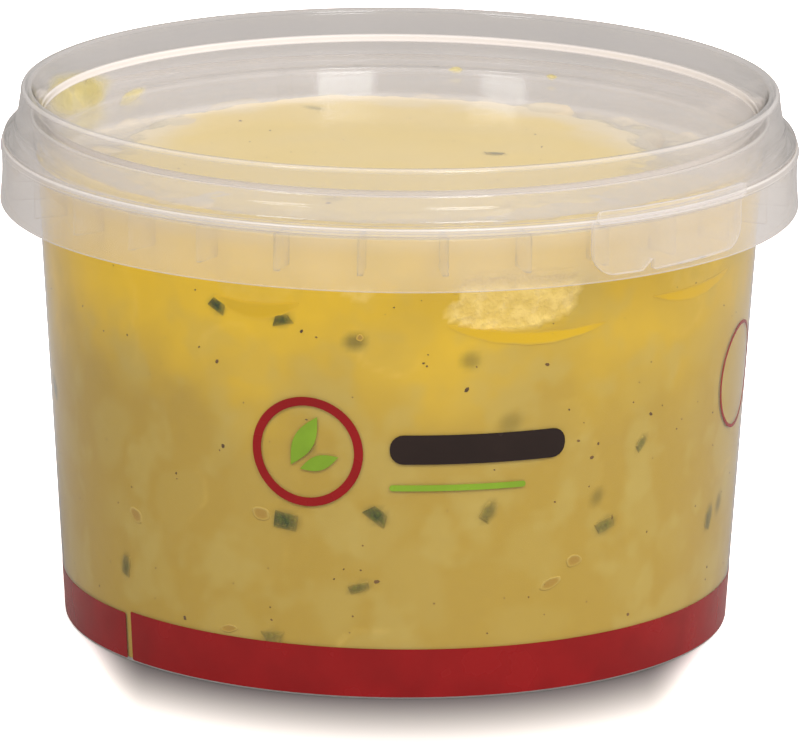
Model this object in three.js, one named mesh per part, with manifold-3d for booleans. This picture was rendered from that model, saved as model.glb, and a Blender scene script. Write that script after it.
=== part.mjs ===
// A shut round tub of potato salad: a clear tub with a collar, a clear press-on lid, and the salad.
// Millimetres, +Z up. The tub stands on z = 0 with its axis on the Z axis, and its front faces -Y.
// An azimuth is measured in degrees round the axis, from the front towards +X.
import * as THREE from 'three';
import { mergeVertices } from 'three/addons/utils/BufferGeometryUtils.js';
import Module from 'manifold-3d';

const wasm = await Module();
wasm.setup();

// Turned pieces
const SEGMENTS = 60; // flats round the plastic pieces
const GAP = 0.3; // clearance between two pieces
const EDGE = 0.25; // small breaks on moulded edges

// Tub body
const FOOT_RADIUS = 49.3; // outside, at the floor
const BODY_TOP_RADIUS = 53.7; // outside, under the ledge
const WALL = 0.85;
const FOOT_RECESS = 0.9; // the base stands this far off the floor
const FOOT_WIDTH = 2.6; // ring that touches the floor
const BASE_THICKNESS = 1;
const BASE_CORNER = 1.7; // inside corner between base and wall

// Ledge, collar and rim of the tub
const LEDGE_UNDERSIDE = 70.1;
const LEDGE_TOP = 70.9;
const COLLAR_RADIUS = 59; // a lid and collar of 118 mm
const COLLAR_WAIST = 0.35; // the collar's wall is drawn in this much between its two edges
const WAIST_HEIGHT = 67;
const COLLAR_WALL = 0.7;
const COLLAR_BOTTOM = 62.6;
const BEAD_BOTTOM = 70.6; // bead along the collar's upper edge
const BEAD_TOP = 71.8;
const RIM_TOP = 75.7; // sealing rim, inside the lid
const RIM_RADIUS = 54.6;

// Ribs between body and collar
const RIB_COUNT = 30;
const RIB_THICKNESS = 0.8;
const RIB_HEIGHT = 5.4;

// Tear tab on the collar
const TAB_LEFT = 27.4; // azimuths
const TAB_RIGHT = 56.6;
const TAB_BOTTOM = 63.4;
const TAB_PROUD = 0.4; // over the collar
const TAB_LEFT_ROUNDING = 7;
const TAB_RIGHT_ROUNDING = 4;
const NICK_AZIMUTH = 37.2; // small cut in the tab's lower edge
const NICK_HEIGHT = 1.9;
const NICK_WIDTH = 2;
const GRIP_BOTTOM = 71.05; // thick bar along the tab's upper edge
const GRIP_TOP = 73.2;
const GRIP_THICKNESS = 0.8;

// Lid
const LID_WALL = 0.7;
const PANEL_TOP = 70.9; // sunk panel
const PANEL_UNDERSIDE = 70.1;
const PANEL_RADIUS = 51.4;
const STEP_RADIUS = 52.8; // small step in the wall round the panel
const STEP_HEIGHT = 75.6;
const CROWN_TOP = 79.8; // stacking rim
const CROWN_INNER_RADIUS = 54.3;
const CROWN_OUTER_RADIUS = 56.15;
const CROWN_ROUNDING = 0.65;
const KINK_RADIUS = 56.95; // where the rim's outer wall turns out into the shoulder
const KINK_HEIGHT = 74.9;
const SHOULDER_RADIUS = 58.65;

// Salad
const SAUCE_SEGMENTS = 48; // flats round the sauce
const MOUND_RADIUS = 33; // the middle is pressed up against the lid
const MOUND_TOP = 69.6;
const SHORE_HEIGHT = 65.2; // where the salad meets the wall
const SKIN_DEPTH = 0.55; // the sauce lies this far behind the pieces that touch the wall
const SIDE_RINGS = [4.5, 14, 24, 34, 44, 51, 55, 58, 61]; // heights of the sauce's rings up the wall
const TOP_RINGS = [48, 43.5, 38.5, MOUND_RADIUS, 24, 13]; // radii of its rings over the top
const SHORE_ROUNDING = 1.5;
const SIDE_RELIEF = 0.9; // depth of the sauce's lumps along the wall
const TOP_RELIEF = 0.35; // under the lid
const SHORE_RELIEF = 2.5; // and where the top falls away to the wall
const WALL_PIECES = 26; // potato pieces that show through the wall
const TOP_PIECES = 13; // and through the lid
const PIECE_LENGTH = [5, 8.5]; // half sizes of a potato piece, least and most
const PIECE_WIDTH = [4.2, 6.6];
const PIECE_THICKNESS = [2.6, 3.5];
const PIECE_SINK = 2.3; // its middle lies this deep
const LOWEST_PIECE = 8;
const HIGHEST_PIECE = 55;
const CHIVE_RADIUS = 1.1;
const CHIVE_LENGTH = 3.2;
const CHIVE_SIDES = 6;
const CHIVE_SINK = 0.9; // middle of a chive piece under the salad's top
const BACK_CHIVES = 17;
const TOP_CHIVES = 7;
const BACK_START = 84; // azimuths between which the back's chive pieces lie
const BACK_END = 276;
const GOLDEN_ANGLE = 137.5;
const GOLDEN_RATIO = 0.618;
const SEED = 41;

// Hollows between the salad and the wall: middle azimuth, half width in degrees, lowest height, depth
const HOLLOW_BOWL = 3; // a hollow's floor is this much higher at its two ends
const HOLLOW_SLOPE = 1.8; // height over which it reaches its depth
const HOLLOWS = [
  [18, 12, 55.6, 4.2],
  [-22.8, 6.5, 58, 2.8],
  [55, 11.5, 57, 2.8],
  [-6.6, 4.5, 60, 2],
  [-74, 9, 60.5, 2.5],
  [108, 13, 57.5, 3.4],
  [151, 8, 59.5, 2.6],
  [-158, 14, 56.5, 3.6],
  [-118, 7, 60, 2.4],
];

// Chive pieces that touch the front wall: azimuth, height, turn in the wall's surface in degrees
const FRONT_CHIVES = [
  [-29.4, 57.3, -28],
  [-18.3, 56.4, 12],
  [-6.7, 53.8, 5],
  [11.5, 51, 0],
  [43.5, 35.4, 50],
  [-15.1, 37.6, -10],
  [-18.2, 26.2, -8],
  [-3.1, 27.8, -30],
  [-51.8, 14.6, 80],
  [-6, 16.8, 18],
  [-20.8, 8.3, 5],
  [15.1, 28.1, 60],
  [36.7, 24, 15],
  [34.7, 28.5, 60],
  [65.5, 20, 75],
  [70, 21.2, 70],
  [18.3, 41.3, 20],
];

const COLOURS = { tub: 0xd9d3c8, lid: 0xe0dbd6, salad: 0xd9b45a };

const { degToRad: radians, radToDeg: degrees, smoothstep, lerp } = THREE.MathUtils;

// Mulberry32: the same draws for the same seed.
function randomSource(seed) {
  let state = seed;
  return () => {
    state = (state + 0x6d2b79f5) | 0;
    let mixed = Math.imul(state ^ (state >>> 15), 1 | state);
    mixed = (mixed + Math.imul(mixed ^ (mixed >>> 7), 61 | mixed)) ^ mixed;
    return ((mixed ^ (mixed >>> 14)) >>> 0) / 4294967296;
  };
}

// Outer radius of the tub's body at a height.
function bodyRadius(height) {
  return FOOT_RADIUS + ((BODY_TOP_RADIUS - FOOT_RADIUS) * height) / LEDGE_UNDERSIDE;
}

// A point on a circle round the axis.
function roundPoint(radius, azimuth, height) {
  const angle = radians(azimuth);
  return new THREE.Vector3(radius * Math.sin(angle), -radius * Math.cos(angle), height);
}

// A closed geometry with its shared corners merged and no collapsed faces.
function welded(geometry) {
  const bare = geometry.clone();
  bare.deleteAttribute('normal');
  bare.deleteAttribute('uv');
  const merged = mergeVertices(bare, 1e-4);
  const corners = merged.index.array;
  const kept = [];
  for (let i = 0; i < corners.length; i += 3) {
    const [a, b, c] = corners.slice(i, i + 3);
    if (a !== b && b !== c && c !== a) kept.push(a, b, c);
  }
  merged.setIndex(kept);
  return merged;
}

function toSolid(geometry) {
  const closed = welded(geometry);
  return new wasm.Manifold(
    new wasm.Mesh({
      numProp: 3,
      vertProperties: new Float32Array(closed.attributes.position.array),
      triVerts: new Uint32Array(closed.index.array),
    }),
  );
}

function toGeometry(solid) {
  const mesh = solid.getMesh();
  const geometry = new THREE.BufferGeometry();
  geometry.setAttribute('position', new THREE.BufferAttribute(mesh.vertProperties, 3));
  geometry.setIndex(new THREE.BufferAttribute(mesh.triVerts, 1));
  return geometry;
}

// A profile of [radius, height] pairs turned round the Z axis, azimuth 0 first.
function turned(profile, segments = SEGMENTS) {
  const points = profile.map(([radius, height]) => new THREE.Vector2(radius, height));
  return new THREE.LatheGeometry(points, segments).rotateX(Math.PI / 2);
}

// A ring of rectangular section, as a solid.
function ring(innerRadius, outerRadius, bottom, top) {
  return toSolid(
    turned([
      [innerRadius, bottom],
      [outerRadius, bottom],
      [outerRadius, top],
      [innerRadius, top],
      [innerRadius, bottom],
    ]),
  );
}

function tubBodyProfile() {
  const footInner = FOOT_RADIUS - FOOT_WIDTH;
  const baseTop = FOOT_RECESS + BASE_THICKNESS;
  const cornerRadius = bodyRadius(baseTop) - WALL;
  return [
    [0, FOOT_RECESS],
    [footInner - FOOT_RECESS, FOOT_RECESS],
    [footInner, 0],
    [FOOT_RADIUS - EDGE, 0],
    [bodyRadius(EDGE), EDGE],
    [bodyRadius(LEDGE_UNDERSIDE), LEDGE_UNDERSIDE],
    [COLLAR_RADIUS - COLLAR_WAIST - COLLAR_WALL, LEDGE_UNDERSIDE],
    [COLLAR_RADIUS - COLLAR_WALL, COLLAR_BOTTOM],
    [COLLAR_RADIUS - EDGE, COLLAR_BOTTOM],
    [COLLAR_RADIUS, COLLAR_BOTTOM + EDGE],
    [COLLAR_RADIUS - COLLAR_WAIST, WAIST_HEIGHT],
    [COLLAR_RADIUS - 0.7 * COLLAR_WAIST, BEAD_BOTTOM],
    [COLLAR_RADIUS, BEAD_BOTTOM + EDGE],
    [COLLAR_RADIUS, BEAD_TOP - EDGE],
    [COLLAR_RADIUS - EDGE, BEAD_TOP],
    [COLLAR_RADIUS - COLLAR_WALL, BEAD_TOP],
    [COLLAR_RADIUS - COLLAR_WALL, LEDGE_TOP],
    [BODY_TOP_RADIUS + EDGE, LEDGE_TOP],
    [RIM_RADIUS, RIM_TOP - 3 * EDGE],
    [RIM_RADIUS - EDGE, RIM_TOP],
    [RIM_RADIUS - WALL + EDGE, RIM_TOP],
    [RIM_RADIUS - WALL, RIM_TOP - 3 * EDGE],
    [bodyRadius(LEDGE_UNDERSIDE) - WALL, LEDGE_UNDERSIDE],
    [cornerRadius + EDGE / 2, baseTop + BASE_CORNER],
    [cornerRadius - 0.3 * BASE_CORNER, baseTop + 0.3 * BASE_CORNER],
    [cornerRadius - BASE_CORNER, baseTop],
    [0, baseTop],
  ];
}

// Thin radial webs that hold the collar to the body, under the ledge.
function ribs() {
  const inner = bodyRadius(LEDGE_UNDERSIDE - RIB_HEIGHT) - WALL / 2;
  const outer = COLLAR_RADIUS - COLLAR_WAIST - COLLAR_WALL / 2;
  const spacing = 360 / RIB_COUNT;
  const solids = [];
  for (let i = 0; i < RIB_COUNT; i += 1) {
    const azimuth = (i + 0.5) * spacing;
    const web = new THREE.BoxGeometry(RIB_THICKNESS, outer - inner, RIB_HEIGHT);
    const place = roundPoint((inner + outer) / 2, azimuth, LEDGE_UNDERSIDE - (RIB_HEIGHT - EDGE) / 2);
    web.rotateZ(radians(azimuth)).translate(place.x, place.y, place.z);
    solids.push(toSolid(web));
  }
  return solids;
}

// The tear tab's outline seen from outside, in millimetres along its chord and up.
function tabOutline() {
  const middle = (TAB_LEFT + TAB_RIGHT) / 2;
  const along = (azimuth) => COLLAR_RADIUS * Math.sin(radians(azimuth - middle));
  const left = along(TAB_LEFT);
  const right = along(TAB_RIGHT);
  const nick = along(NICK_AZIMUTH);
  const outline = new THREE.Shape();
  outline.moveTo(left, GRIP_BOTTOM + EDGE);
  outline.lineTo(left, TAB_BOTTOM + TAB_LEFT_ROUNDING);
  outline.quadraticCurveTo(left, TAB_BOTTOM, left + TAB_LEFT_ROUNDING, TAB_BOTTOM);
  outline.lineTo(nick - NICK_WIDTH / 2, TAB_BOTTOM);
  outline.lineTo(nick + NICK_WIDTH / 2, TAB_BOTTOM + NICK_HEIGHT);
  outline.lineTo(nick + NICK_WIDTH / 2, TAB_BOTTOM);
  outline.lineTo(right - TAB_RIGHT_ROUNDING, TAB_BOTTOM + EDGE);
  outline.quadraticCurveTo(right, TAB_BOTTOM + EDGE, right, TAB_BOTTOM + TAB_RIGHT_ROUNDING);
  outline.lineTo(right, GRIP_BOTTOM + EDGE);
  return outline;
}

// A shape drawn on a plane that faces outwards at the tab, pushed through towards the axis.
function throughTab(shape) {
  const depth = COLLAR_RADIUS;
  const prism = new THREE.ExtrudeGeometry(shape, { depth, bevelEnabled: false, curveSegments: 4 });
  prism.rotateX(Math.PI / 2).translate(0, -depth / 2, 0);
  return toSolid(prism.rotateZ(radians((TAB_LEFT + TAB_RIGHT) / 2)));
}

// The plate follows the collar, and the grip bar stands up past its bead.
function tearTab() {
  const plateInner = COLLAR_RADIUS - COLLAR_WAIST - COLLAR_WALL / 2;
  const plateOuter = COLLAR_RADIUS + TAB_PROUD;
  const gripInner = COLLAR_RADIUS + EDGE / 2;
  const plate = ring(plateInner, plateOuter, TAB_BOTTOM - 1, BEAD_TOP - EDGE);
  const grip = ring(gripInner, gripInner + GRIP_THICKNESS, GRIP_BOTTOM, GRIP_TOP);
  const halfWidth = COLLAR_RADIUS * Math.sin(radians((TAB_RIGHT - TAB_LEFT) / 2));
  const gripShape = new THREE.Shape();
  gripShape.moveTo(-halfWidth, GRIP_BOTTOM - 1);
  gripShape.lineTo(halfWidth, GRIP_BOTTOM - 1);
  gripShape.lineTo(halfWidth, GRIP_TOP + 1);
  gripShape.lineTo(-halfWidth, GRIP_TOP + 1);
  return [plate.intersect(throughTab(tabOutline())), grip.intersect(throughTab(gripShape))];
}

function tubSolid() {
  const pieces = [toSolid(turned(tubBodyProfile())), ...ribs(), ...tearTab()];
  return pieces.reduce((whole, piece) => whole.add(piece));
}

// The lid in section: sunk panel, wall, stacking rim, shoulder, and a short skirt inside the collar.
function lidProfile() {
  const flangeUnderside = BEAD_TOP + GAP;
  const skirtFoot = LEDGE_TOP + GAP;
  const skirtRadius = COLLAR_RADIUS - COLLAR_WALL - GAP - EDGE;
  const crownUnderside = CROWN_TOP - LID_WALL;
  const under = [
    [0, PANEL_UNDERSIDE],
    [PANEL_RADIUS + EDGE, PANEL_UNDERSIDE],
    [PANEL_RADIUS + LID_WALL, PANEL_UNDERSIDE + LID_WALL],
    [STEP_RADIUS + LID_WALL, STEP_HEIGHT],
    [CROWN_INNER_RADIUS + LID_WALL, crownUnderside],
    [CROWN_OUTER_RADIUS - LID_WALL - EDGE, crownUnderside],
    [CROWN_OUTER_RADIUS - LID_WALL, crownUnderside - EDGE],
    [KINK_RADIUS - LID_WALL - EDGE, KINK_HEIGHT + EDGE],
    [skirtRadius - LID_WALL - EDGE, KINK_HEIGHT - 2 * LID_WALL],
    [skirtRadius - LID_WALL, skirtFoot],
    [skirtRadius, skirtFoot],
    [skirtRadius, flangeUnderside],
  ];
  const shoulderRise = KINK_HEIGHT - flangeUnderside;
  const over = [
    [SHOULDER_RADIUS, flangeUnderside],
    [SHOULDER_RADIUS - EDGE, flangeUnderside + 0.35 * shoulderRise],
    [SHOULDER_RADIUS - 3 * EDGE, flangeUnderside + 0.65 * shoulderRise],
    [KINK_RADIUS, KINK_HEIGHT],
    [KINK_RADIUS - EDGE, KINK_HEIGHT + 2 * EDGE],
    [CROWN_OUTER_RADIUS, CROWN_TOP - CROWN_ROUNDING],
    [CROWN_OUTER_RADIUS - 0.25 * CROWN_ROUNDING, CROWN_TOP - 0.3 * CROWN_ROUNDING],
    [CROWN_OUTER_RADIUS - CROWN_ROUNDING, CROWN_TOP],
    [CROWN_INNER_RADIUS + CROWN_ROUNDING, CROWN_TOP],
    [CROWN_INNER_RADIUS + 0.25 * CROWN_ROUNDING, CROWN_TOP - 0.3 * CROWN_ROUNDING],
    [CROWN_INNER_RADIUS, CROWN_TOP - CROWN_ROUNDING],
    [STEP_RADIUS + EDGE, STEP_HEIGHT + EDGE],
    [STEP_RADIUS, STEP_HEIGHT],
    [PANEL_RADIUS + EDGE, PANEL_TOP + 2 * EDGE],
    [PANEL_RADIUS - EDGE, PANEL_TOP],
    [0, PANEL_TOP],
  ];
  return [...under, ...over];
}

// Radius that the salad can fill, clear of the tub's wall.
function roomRadius(height) {
  return bodyRadius(height) - WALL - GAP;
}

// All the space inside the shut tub, clear of tub and lid.
function room() {
  const bottom = FOOT_RECESS + BASE_THICKNESS + GAP;
  const top = PANEL_UNDERSIDE - GAP;
  return toSolid(
    turned([
      [0, bottom],
      [roomRadius(bottom) - BASE_CORNER - GAP, bottom],
      [roomRadius(bottom), bottom + BASE_CORNER + GAP],
      [roomRadius(top), top],
      [0, top],
    ]),
  );
}

// How far the salad stands back from the wall at a place, in the hollows.
function hollowDepth(azimuth, height) {
  return HOLLOWS.reduce((deepest, [middle, halfWidth, lowest, depth]) => {
    const turn = ((azimuth - middle + 540) % 360) - 180;
    const across = Math.max(0, 1 - (turn / halfWidth) ** 2);
    const floor = lowest + HOLLOW_BOWL * (1 - across);
    const opened = smoothstep(height, floor, floor + HOLLOW_SLOPE);
    return Math.max(deepest, depth * Math.sqrt(across) * opened);
  }, 0);
}

// Unevenness between -1 and 1, about ten millimetres from crest to crest.
function unevenness(point) {
  const { x, y, z } = point;
  const broad = Math.sin(0.31 * x + 1.3 * Math.sin(0.17 * y)) * Math.cos(0.29 * y - 0.23 * z);
  const fine = Math.sin(0.74 * x - 0.41 * z) * Math.sin(0.67 * y + 0.53 * z + 1);
  return 0.65 * broad + 0.35 * fine;
}

// Height of the salad's top before its unevenness: flat under the lid, then down to the wall.
function moundHeight(radius) {
  return lerp(MOUND_TOP, SHORE_HEIGHT, smoothstep(radius, MOUND_RADIUS, roomRadius(SHORE_HEIGHT)));
}

// A point of the sauce's skin, moved inwards along the wall or down on the top by lumps and hollows.
function lumpy(point) {
  const radius = Math.hypot(point.x, point.y);
  const azimuth = degrees(Math.atan2(point.x, -point.y));
  const lump = 0.5 + 0.5 * unevenness(point);
  const hollow = hollowDepth(azimuth, point.z) * smoothstep(radius, TOP_RINGS[2], TOP_RINGS[0]);
  const onTop = point.z > SHORE_HEIGHT - 2;
  const inwards = hollow + (onTop ? 0 : SIDE_RELIEF * lump);
  const shore = smoothstep(radius, MOUND_RADIUS, roomRadius(SHORE_HEIGHT));
  const down = onTop ? lerp(TOP_RELIEF, SHORE_RELIEF, shore) * lump + 0.7 * hollow : 0;
  const shrink = 1 - inwards / radius;
  return new THREE.Vector3(point.x * shrink, point.y * shrink, point.z - down);
}

// The sauce: a body just inside the wall, mounded under the lid and hollowed along the wall.
function sauce() {
  const bottom = FOOT_RECESS + BASE_THICKNESS + GAP + 0.1;
  const side = (height) => [roomRadius(height) - SKIN_DEPTH, height];
  const mound = (radius) => [radius, moundHeight(radius)];
  const profile = [
    [0, bottom],
    [roomRadius(bottom) - SKIN_DEPTH - BASE_CORNER, bottom],
    ...SIDE_RINGS.map(side),
    [roomRadius(SHORE_HEIGHT) - SHORE_ROUNDING, SHORE_HEIGHT - SHORE_ROUNDING],
    ...TOP_RINGS.map(mound),
    [0, MOUND_TOP],
  ];
  const skin = welded(turned(profile, SAUCE_SEGMENTS));
  const places = skin.attributes.position;
  for (let i = 0; i < places.count; i += 1) {
    const point = new THREE.Vector3().fromBufferAttribute(places, i);
    const onAxis = Math.hypot(point.x, point.y) < 1;
    if (onAxis || point.z < SIDE_RINGS[0]) continue;
    places.setXYZ(i, ...lumpy(point));
  }
  return toSolid(skin);
}

// A potato piece: a rounded slab, laid with its flat side along the surface that it shows at.
function potato(random, place, facing) {
  const drawn = ([least, most]) => lerp(least, most, random());
  const slab = new THREE.OctahedronGeometry(1, 1).rotateZ(random() * Math.PI);
  slab.scale(drawn(PIECE_LENGTH), drawn(PIECE_WIDTH), drawn(PIECE_THICKNESS));
  slab.rotateZ(random() * Math.PI);
  slab.applyQuaternion(new THREE.Quaternion().setFromUnitVectors(new THREE.Vector3(0, 0, 1), facing));
  return toSolid(slab.translate(place.x, place.y, place.z));
}

// A short round piece of chive stem, lying along a direction.
function chive(place, along) {
  const stem = new THREE.CylinderGeometry(CHIVE_RADIUS, CHIVE_RADIUS, CHIVE_LENGTH, CHIVE_SIDES);
  stem.applyQuaternion(new THREE.Quaternion().setFromUnitVectors(new THREE.Vector3(0, 1, 0), along));
  return toSolid(stem.translate(place.x, place.y, place.z));
}

// A chive piece that lies against the wall, turned in the wall's surface.
function wallChive(azimuth, height, turn) {
  const radius = roomRadius(height) - CHIVE_RADIUS - hollowDepth(azimuth, height);
  const sideways = new THREE.Vector3(Math.cos(radians(azimuth)), Math.sin(radians(azimuth)), 0);
  const along = sideways.multiplyScalar(Math.cos(radians(turn)));
  along.z = Math.sin(radians(turn));
  return chive(roundPoint(radius, azimuth, height), along.normalize());
}

// Potato pieces round the wall, evenly spread by the golden angle.
function wallPotatoes(random) {
  const solids = [];
  for (let i = 0; i < WALL_PIECES; i += 1) {
    const azimuth = (i + 0.1 * random()) * GOLDEN_ANGLE;
    const height = lerp(LOWEST_PIECE, HIGHEST_PIECE, (i + random()) / WALL_PIECES);
    const place = roundPoint(roomRadius(height) - PIECE_SINK, azimuth, height);
    solids.push(potato(random, place, roundPoint(1, azimuth, 0)));
  }
  return solids;
}

// Potato pieces that stand up out of the salad's top, over its whole width.
function topPotatoes(random) {
  const solids = [];
  for (let i = 0; i < TOP_PIECES; i += 1) {
    const radius = TOP_RINGS[1] * Math.sqrt((i + 0.5) / TOP_PIECES);
    const facing = new THREE.Vector3(random() - 0.5, random() - 0.5, 3).normalize(); // nearly level
    const place = roundPoint(radius, i * GOLDEN_ANGLE, moundHeight(radius) - PIECE_SINK);
    solids.push(potato(random, place, facing));
  }
  return solids;
}

// Chive pieces: those at the front where they show, the rest spread over back and top.
function chives(random) {
  const solids = FRONT_CHIVES.map((place) => wallChive(...place));
  for (let i = 0; i < BACK_CHIVES; i += 1) {
    const azimuth = lerp(BACK_START, BACK_END, (i + random()) / BACK_CHIVES);
    const height = lerp(LOWEST_PIECE, HIGHEST_PIECE, (i * GOLDEN_RATIO + 0.2 * random()) % 1);
    solids.push(wallChive(azimuth, height, 180 * random()));
  }
  for (let i = 0; i < TOP_CHIVES; i += 1) {
    const radius = MOUND_RADIUS * Math.sqrt((i + 0.3) / TOP_CHIVES);
    const place = roundPoint(radius, (i + 0.5) * GOLDEN_ANGLE, MOUND_TOP - CHIVE_SINK);
    const heading = random() * Math.PI;
    solids.push(chive(place, new THREE.Vector3(Math.cos(heading), Math.sin(heading), 0)));
  }
  return solids;
}

function saladSolid() {
  const random = randomSource(SEED);
  const pieces = [sauce(), ...wallPotatoes(random), ...topPotatoes(random), ...chives(random)];
  return pieces.reduce((heap, piece) => heap.add(piece)).intersect(room());
}

function named(name, geometry, roughness) {
  const material = new THREE.MeshStandardMaterial({ color: COLOURS[name], roughness, metalness: 0 });
  const mesh = new THREE.Mesh(geometry, material);
  mesh.name = name;
  return mesh;
}

const tubOfSalad = new THREE.Group();
tubOfSalad.add(named('tub', toGeometry(tubSolid()), 0.3));
tubOfSalad.add(named('lid', turned(lidProfile()), 0.25));
tubOfSalad.add(named('salad', toGeometry(saladSolid()), 0.5));

export default tubOfSalad;
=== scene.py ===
"""Looks of a shut clear tub of potato salad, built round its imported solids.

Metres, +Z up. The tub's axis is the Z axis and its front faces -Y. An azimuth is in degrees round the
axis, from the front towards +X. The salad lies against the tub's wall and the lid's panel.
"""
import math
import random
from collections import namedtuple

import bpy
import numpy as np
from bpy.props import FloatProperty, FloatVectorProperty, IntProperty, PointerProperty
from mathutils import Matrix, Vector, noise
from mathutils.geometry import delaunay_2d_cdt


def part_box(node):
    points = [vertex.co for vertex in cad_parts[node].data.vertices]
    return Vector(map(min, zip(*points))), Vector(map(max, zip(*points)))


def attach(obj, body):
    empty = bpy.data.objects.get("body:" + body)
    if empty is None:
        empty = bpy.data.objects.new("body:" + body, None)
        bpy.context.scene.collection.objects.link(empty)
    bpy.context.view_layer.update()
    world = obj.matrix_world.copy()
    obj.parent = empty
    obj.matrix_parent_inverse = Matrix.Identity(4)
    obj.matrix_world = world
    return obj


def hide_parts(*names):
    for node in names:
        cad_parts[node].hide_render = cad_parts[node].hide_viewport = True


bl_info = {
    "name": "Potato Salad Tub",
    "version": (1, 0, 0),
    "blender": (4, 5, 0),
    "location": "3D View > Sidebar > Salad Tub",
    "description": "Dresses the solids of a shut clear tub of potato salad",
    "category": "Object",
}

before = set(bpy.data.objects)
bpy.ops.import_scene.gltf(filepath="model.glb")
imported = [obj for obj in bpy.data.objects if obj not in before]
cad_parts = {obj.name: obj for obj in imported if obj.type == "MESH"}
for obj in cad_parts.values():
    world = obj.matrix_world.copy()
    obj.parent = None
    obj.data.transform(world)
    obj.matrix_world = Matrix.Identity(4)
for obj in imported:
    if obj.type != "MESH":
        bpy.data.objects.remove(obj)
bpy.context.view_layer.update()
_, TUB_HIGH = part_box("tub")
LID_LOW, LID_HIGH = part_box("lid")

MM = 0.001
COLLAR_RADIUS = TUB_HIGH.x
RIM_TOP = TUB_HIGH.z
PANEL_UNDERSIDE = LID_LOW.z
CROWN_TOP = LID_HIGH.z
SHOULDER_RADIUS = LID_HIGH.x
SHARP_ANGLE = math.radians(45)

# Fine shape of the plastic
SEGMENTS = 240
ARC_STEP = math.radians(20)
SUPPORT = 0.12 * MM  # a ring this near each rounding keeps the flat beside it flat in the light
TUB_PITCH = 4 * MM  # greatest step along the tub's section
LID_PITCH = 3 * MM
OUTLINE_PITCH = 1.2 * MM  # greatest step along the outline of a shape that is laid round the wall
FOOT_RECESS = 0.9 * MM
FOOT_ROUNDING = 0.25 * MM
FOOT_WIDTH = 2.6 * MM
BASE_THICKNESS = 1 * MM
BASE_CORNER = 1.7 * MM
LEDGE_THICKNESS = 0.8 * MM
BEAD_BOTTOM = 70.6 * MM
BEAD_TOP = 71.8 * MM
COLLAR_WAIST = 0.35 * MM
WAIST_HEIGHT = 67 * MM
RIM_RADIUS = 54.6 * MM
RIB_THICKNESS = 0.9 * MM
RIB_HEIGHT = 5.3 * MM
RIB_AZIMUTH = 6.6
RIB_HAZE = 0.25  # as a share of the tub's haze
RIB_ROUNDING = 0.12 * MM
RIB_SEAT = 0.15 * MM  # how far each web reaches into body and collar
RIB_INTO_LEDGE = 0.2 * MM
LID_GAP = 0.3 * MM
WET_RADIUS = 54.6 * MM  # salad wets the tub's plastic within this radius and below WET_TOP
WET_TOP = 69 * MM
PANEL_TOP = 74 * MM  # below this height the lid's plastic has the haze of its panel
MIRROR_SHARE = 0.04  # share of light that clear plastic mirrors when seen square on
KINK_RADIUS = 56.4 * MM
KINK_HEIGHT = 75.8 * MM
CROWN_INNER_RADIUS = 54.3 * MM
CROWN_OUTER_RADIUS = 56 * MM
STEP_RADIUS = 52.8 * MM
STEP_HEIGHT = 75.6 * MM

# Tear tab on the collar, azimuths in degrees
TAB_LEFT = 27.8
TAB_RIGHT = 56.2
TAB_BOTTOM = 63.6 * MM
TAB_PROUD = 0.4 * MM
TAB_SEAT = 0.2 * MM  # how deep the back of the tab's plate lies in the collar
TAB_ROUNDING = 0.16 * MM
TAB_HAZE = 0.75  # as a share of the tub's haze
TAB_PAINTED_HIGHLIGHT = 0.1  # extra haze along the tab's edges: a painted highlight
TAB_PITCH = 1.5 * MM  # spacing of the points over the tab's faces
TAB_LINE = 0.35 * MM  # width of the painted highlight line round the tab's edge
NICK_AZIMUTH = 36.9
NICK_HEIGHT = 1.7 * MM
NICK_WIDTH = 2 * MM
GRIP_BOTTOM = 71.3 * MM
GRIP_TOP = 73.2 * MM
GRIP_THICKNESS = 0.8 * MM

# Salad
INTO_WALL = 0.6 * MM  # the salad reaches this far into the plastic, so that no gap shows
CORE_BOTTOM = 1.3 * MM
GRID_PITCH = 0.75 * MM
PRESS = 0.55 * MM  # the loose surface would stand this far into the plastic
HOLLOW_BOWL = 2.6 * MM
HOLLOW_SLOPE = 0.5 * MM
HOLLOW_TOP = 65.5 * MM
BACK_FALL = 4.2 * MM  # how far the top falls away towards the back wall
TROUGH = 1.6 * MM  # how deep the top dips between the lid's panel and the wall
HIGH_SIDE = -15  # azimuth where the salad stands highest against the wall
GOLDEN_ANGLE = 137.5  # this many degrees from piece to piece spread them with no pattern
GOLDEN_SHARE = 0.618  # the same for heights, as a share of the whole height
FREE_GAP = 0.25 * MM  # salad that stands this far back from wall and lid is fully wet
FIRM_HEIGHT = 3.2 * MM  # the core keeps its turned shape below this height
TOP_REACH = 46 * MM  # slices and specks on top lie within this radius
CHIVE_REACH = 47 * MM
SLICE_RINGS = 8
SLICE_POINTS = 30
SPECK_SIDES = 6
UNDER_DRESSING = 0.4  # a chive piece with more dressing on it shows as a stain
SLICE_PROUD = 0.03 * MM  # how far pieces that are pressed in may stand out of the salad's face
CHIVE_PROUD = 0.09 * MM
SPECK_PROUD = 0.03 * MM

# Seats of the potato slices and chive pieces in the salad
SliceSeat = namedtuple("SliceSeat", "spot facing side sizes shift edge strength stands_out")
ChiveSeat = namedtuple("ChiveSeat", "spot along out length width coat")
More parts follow.
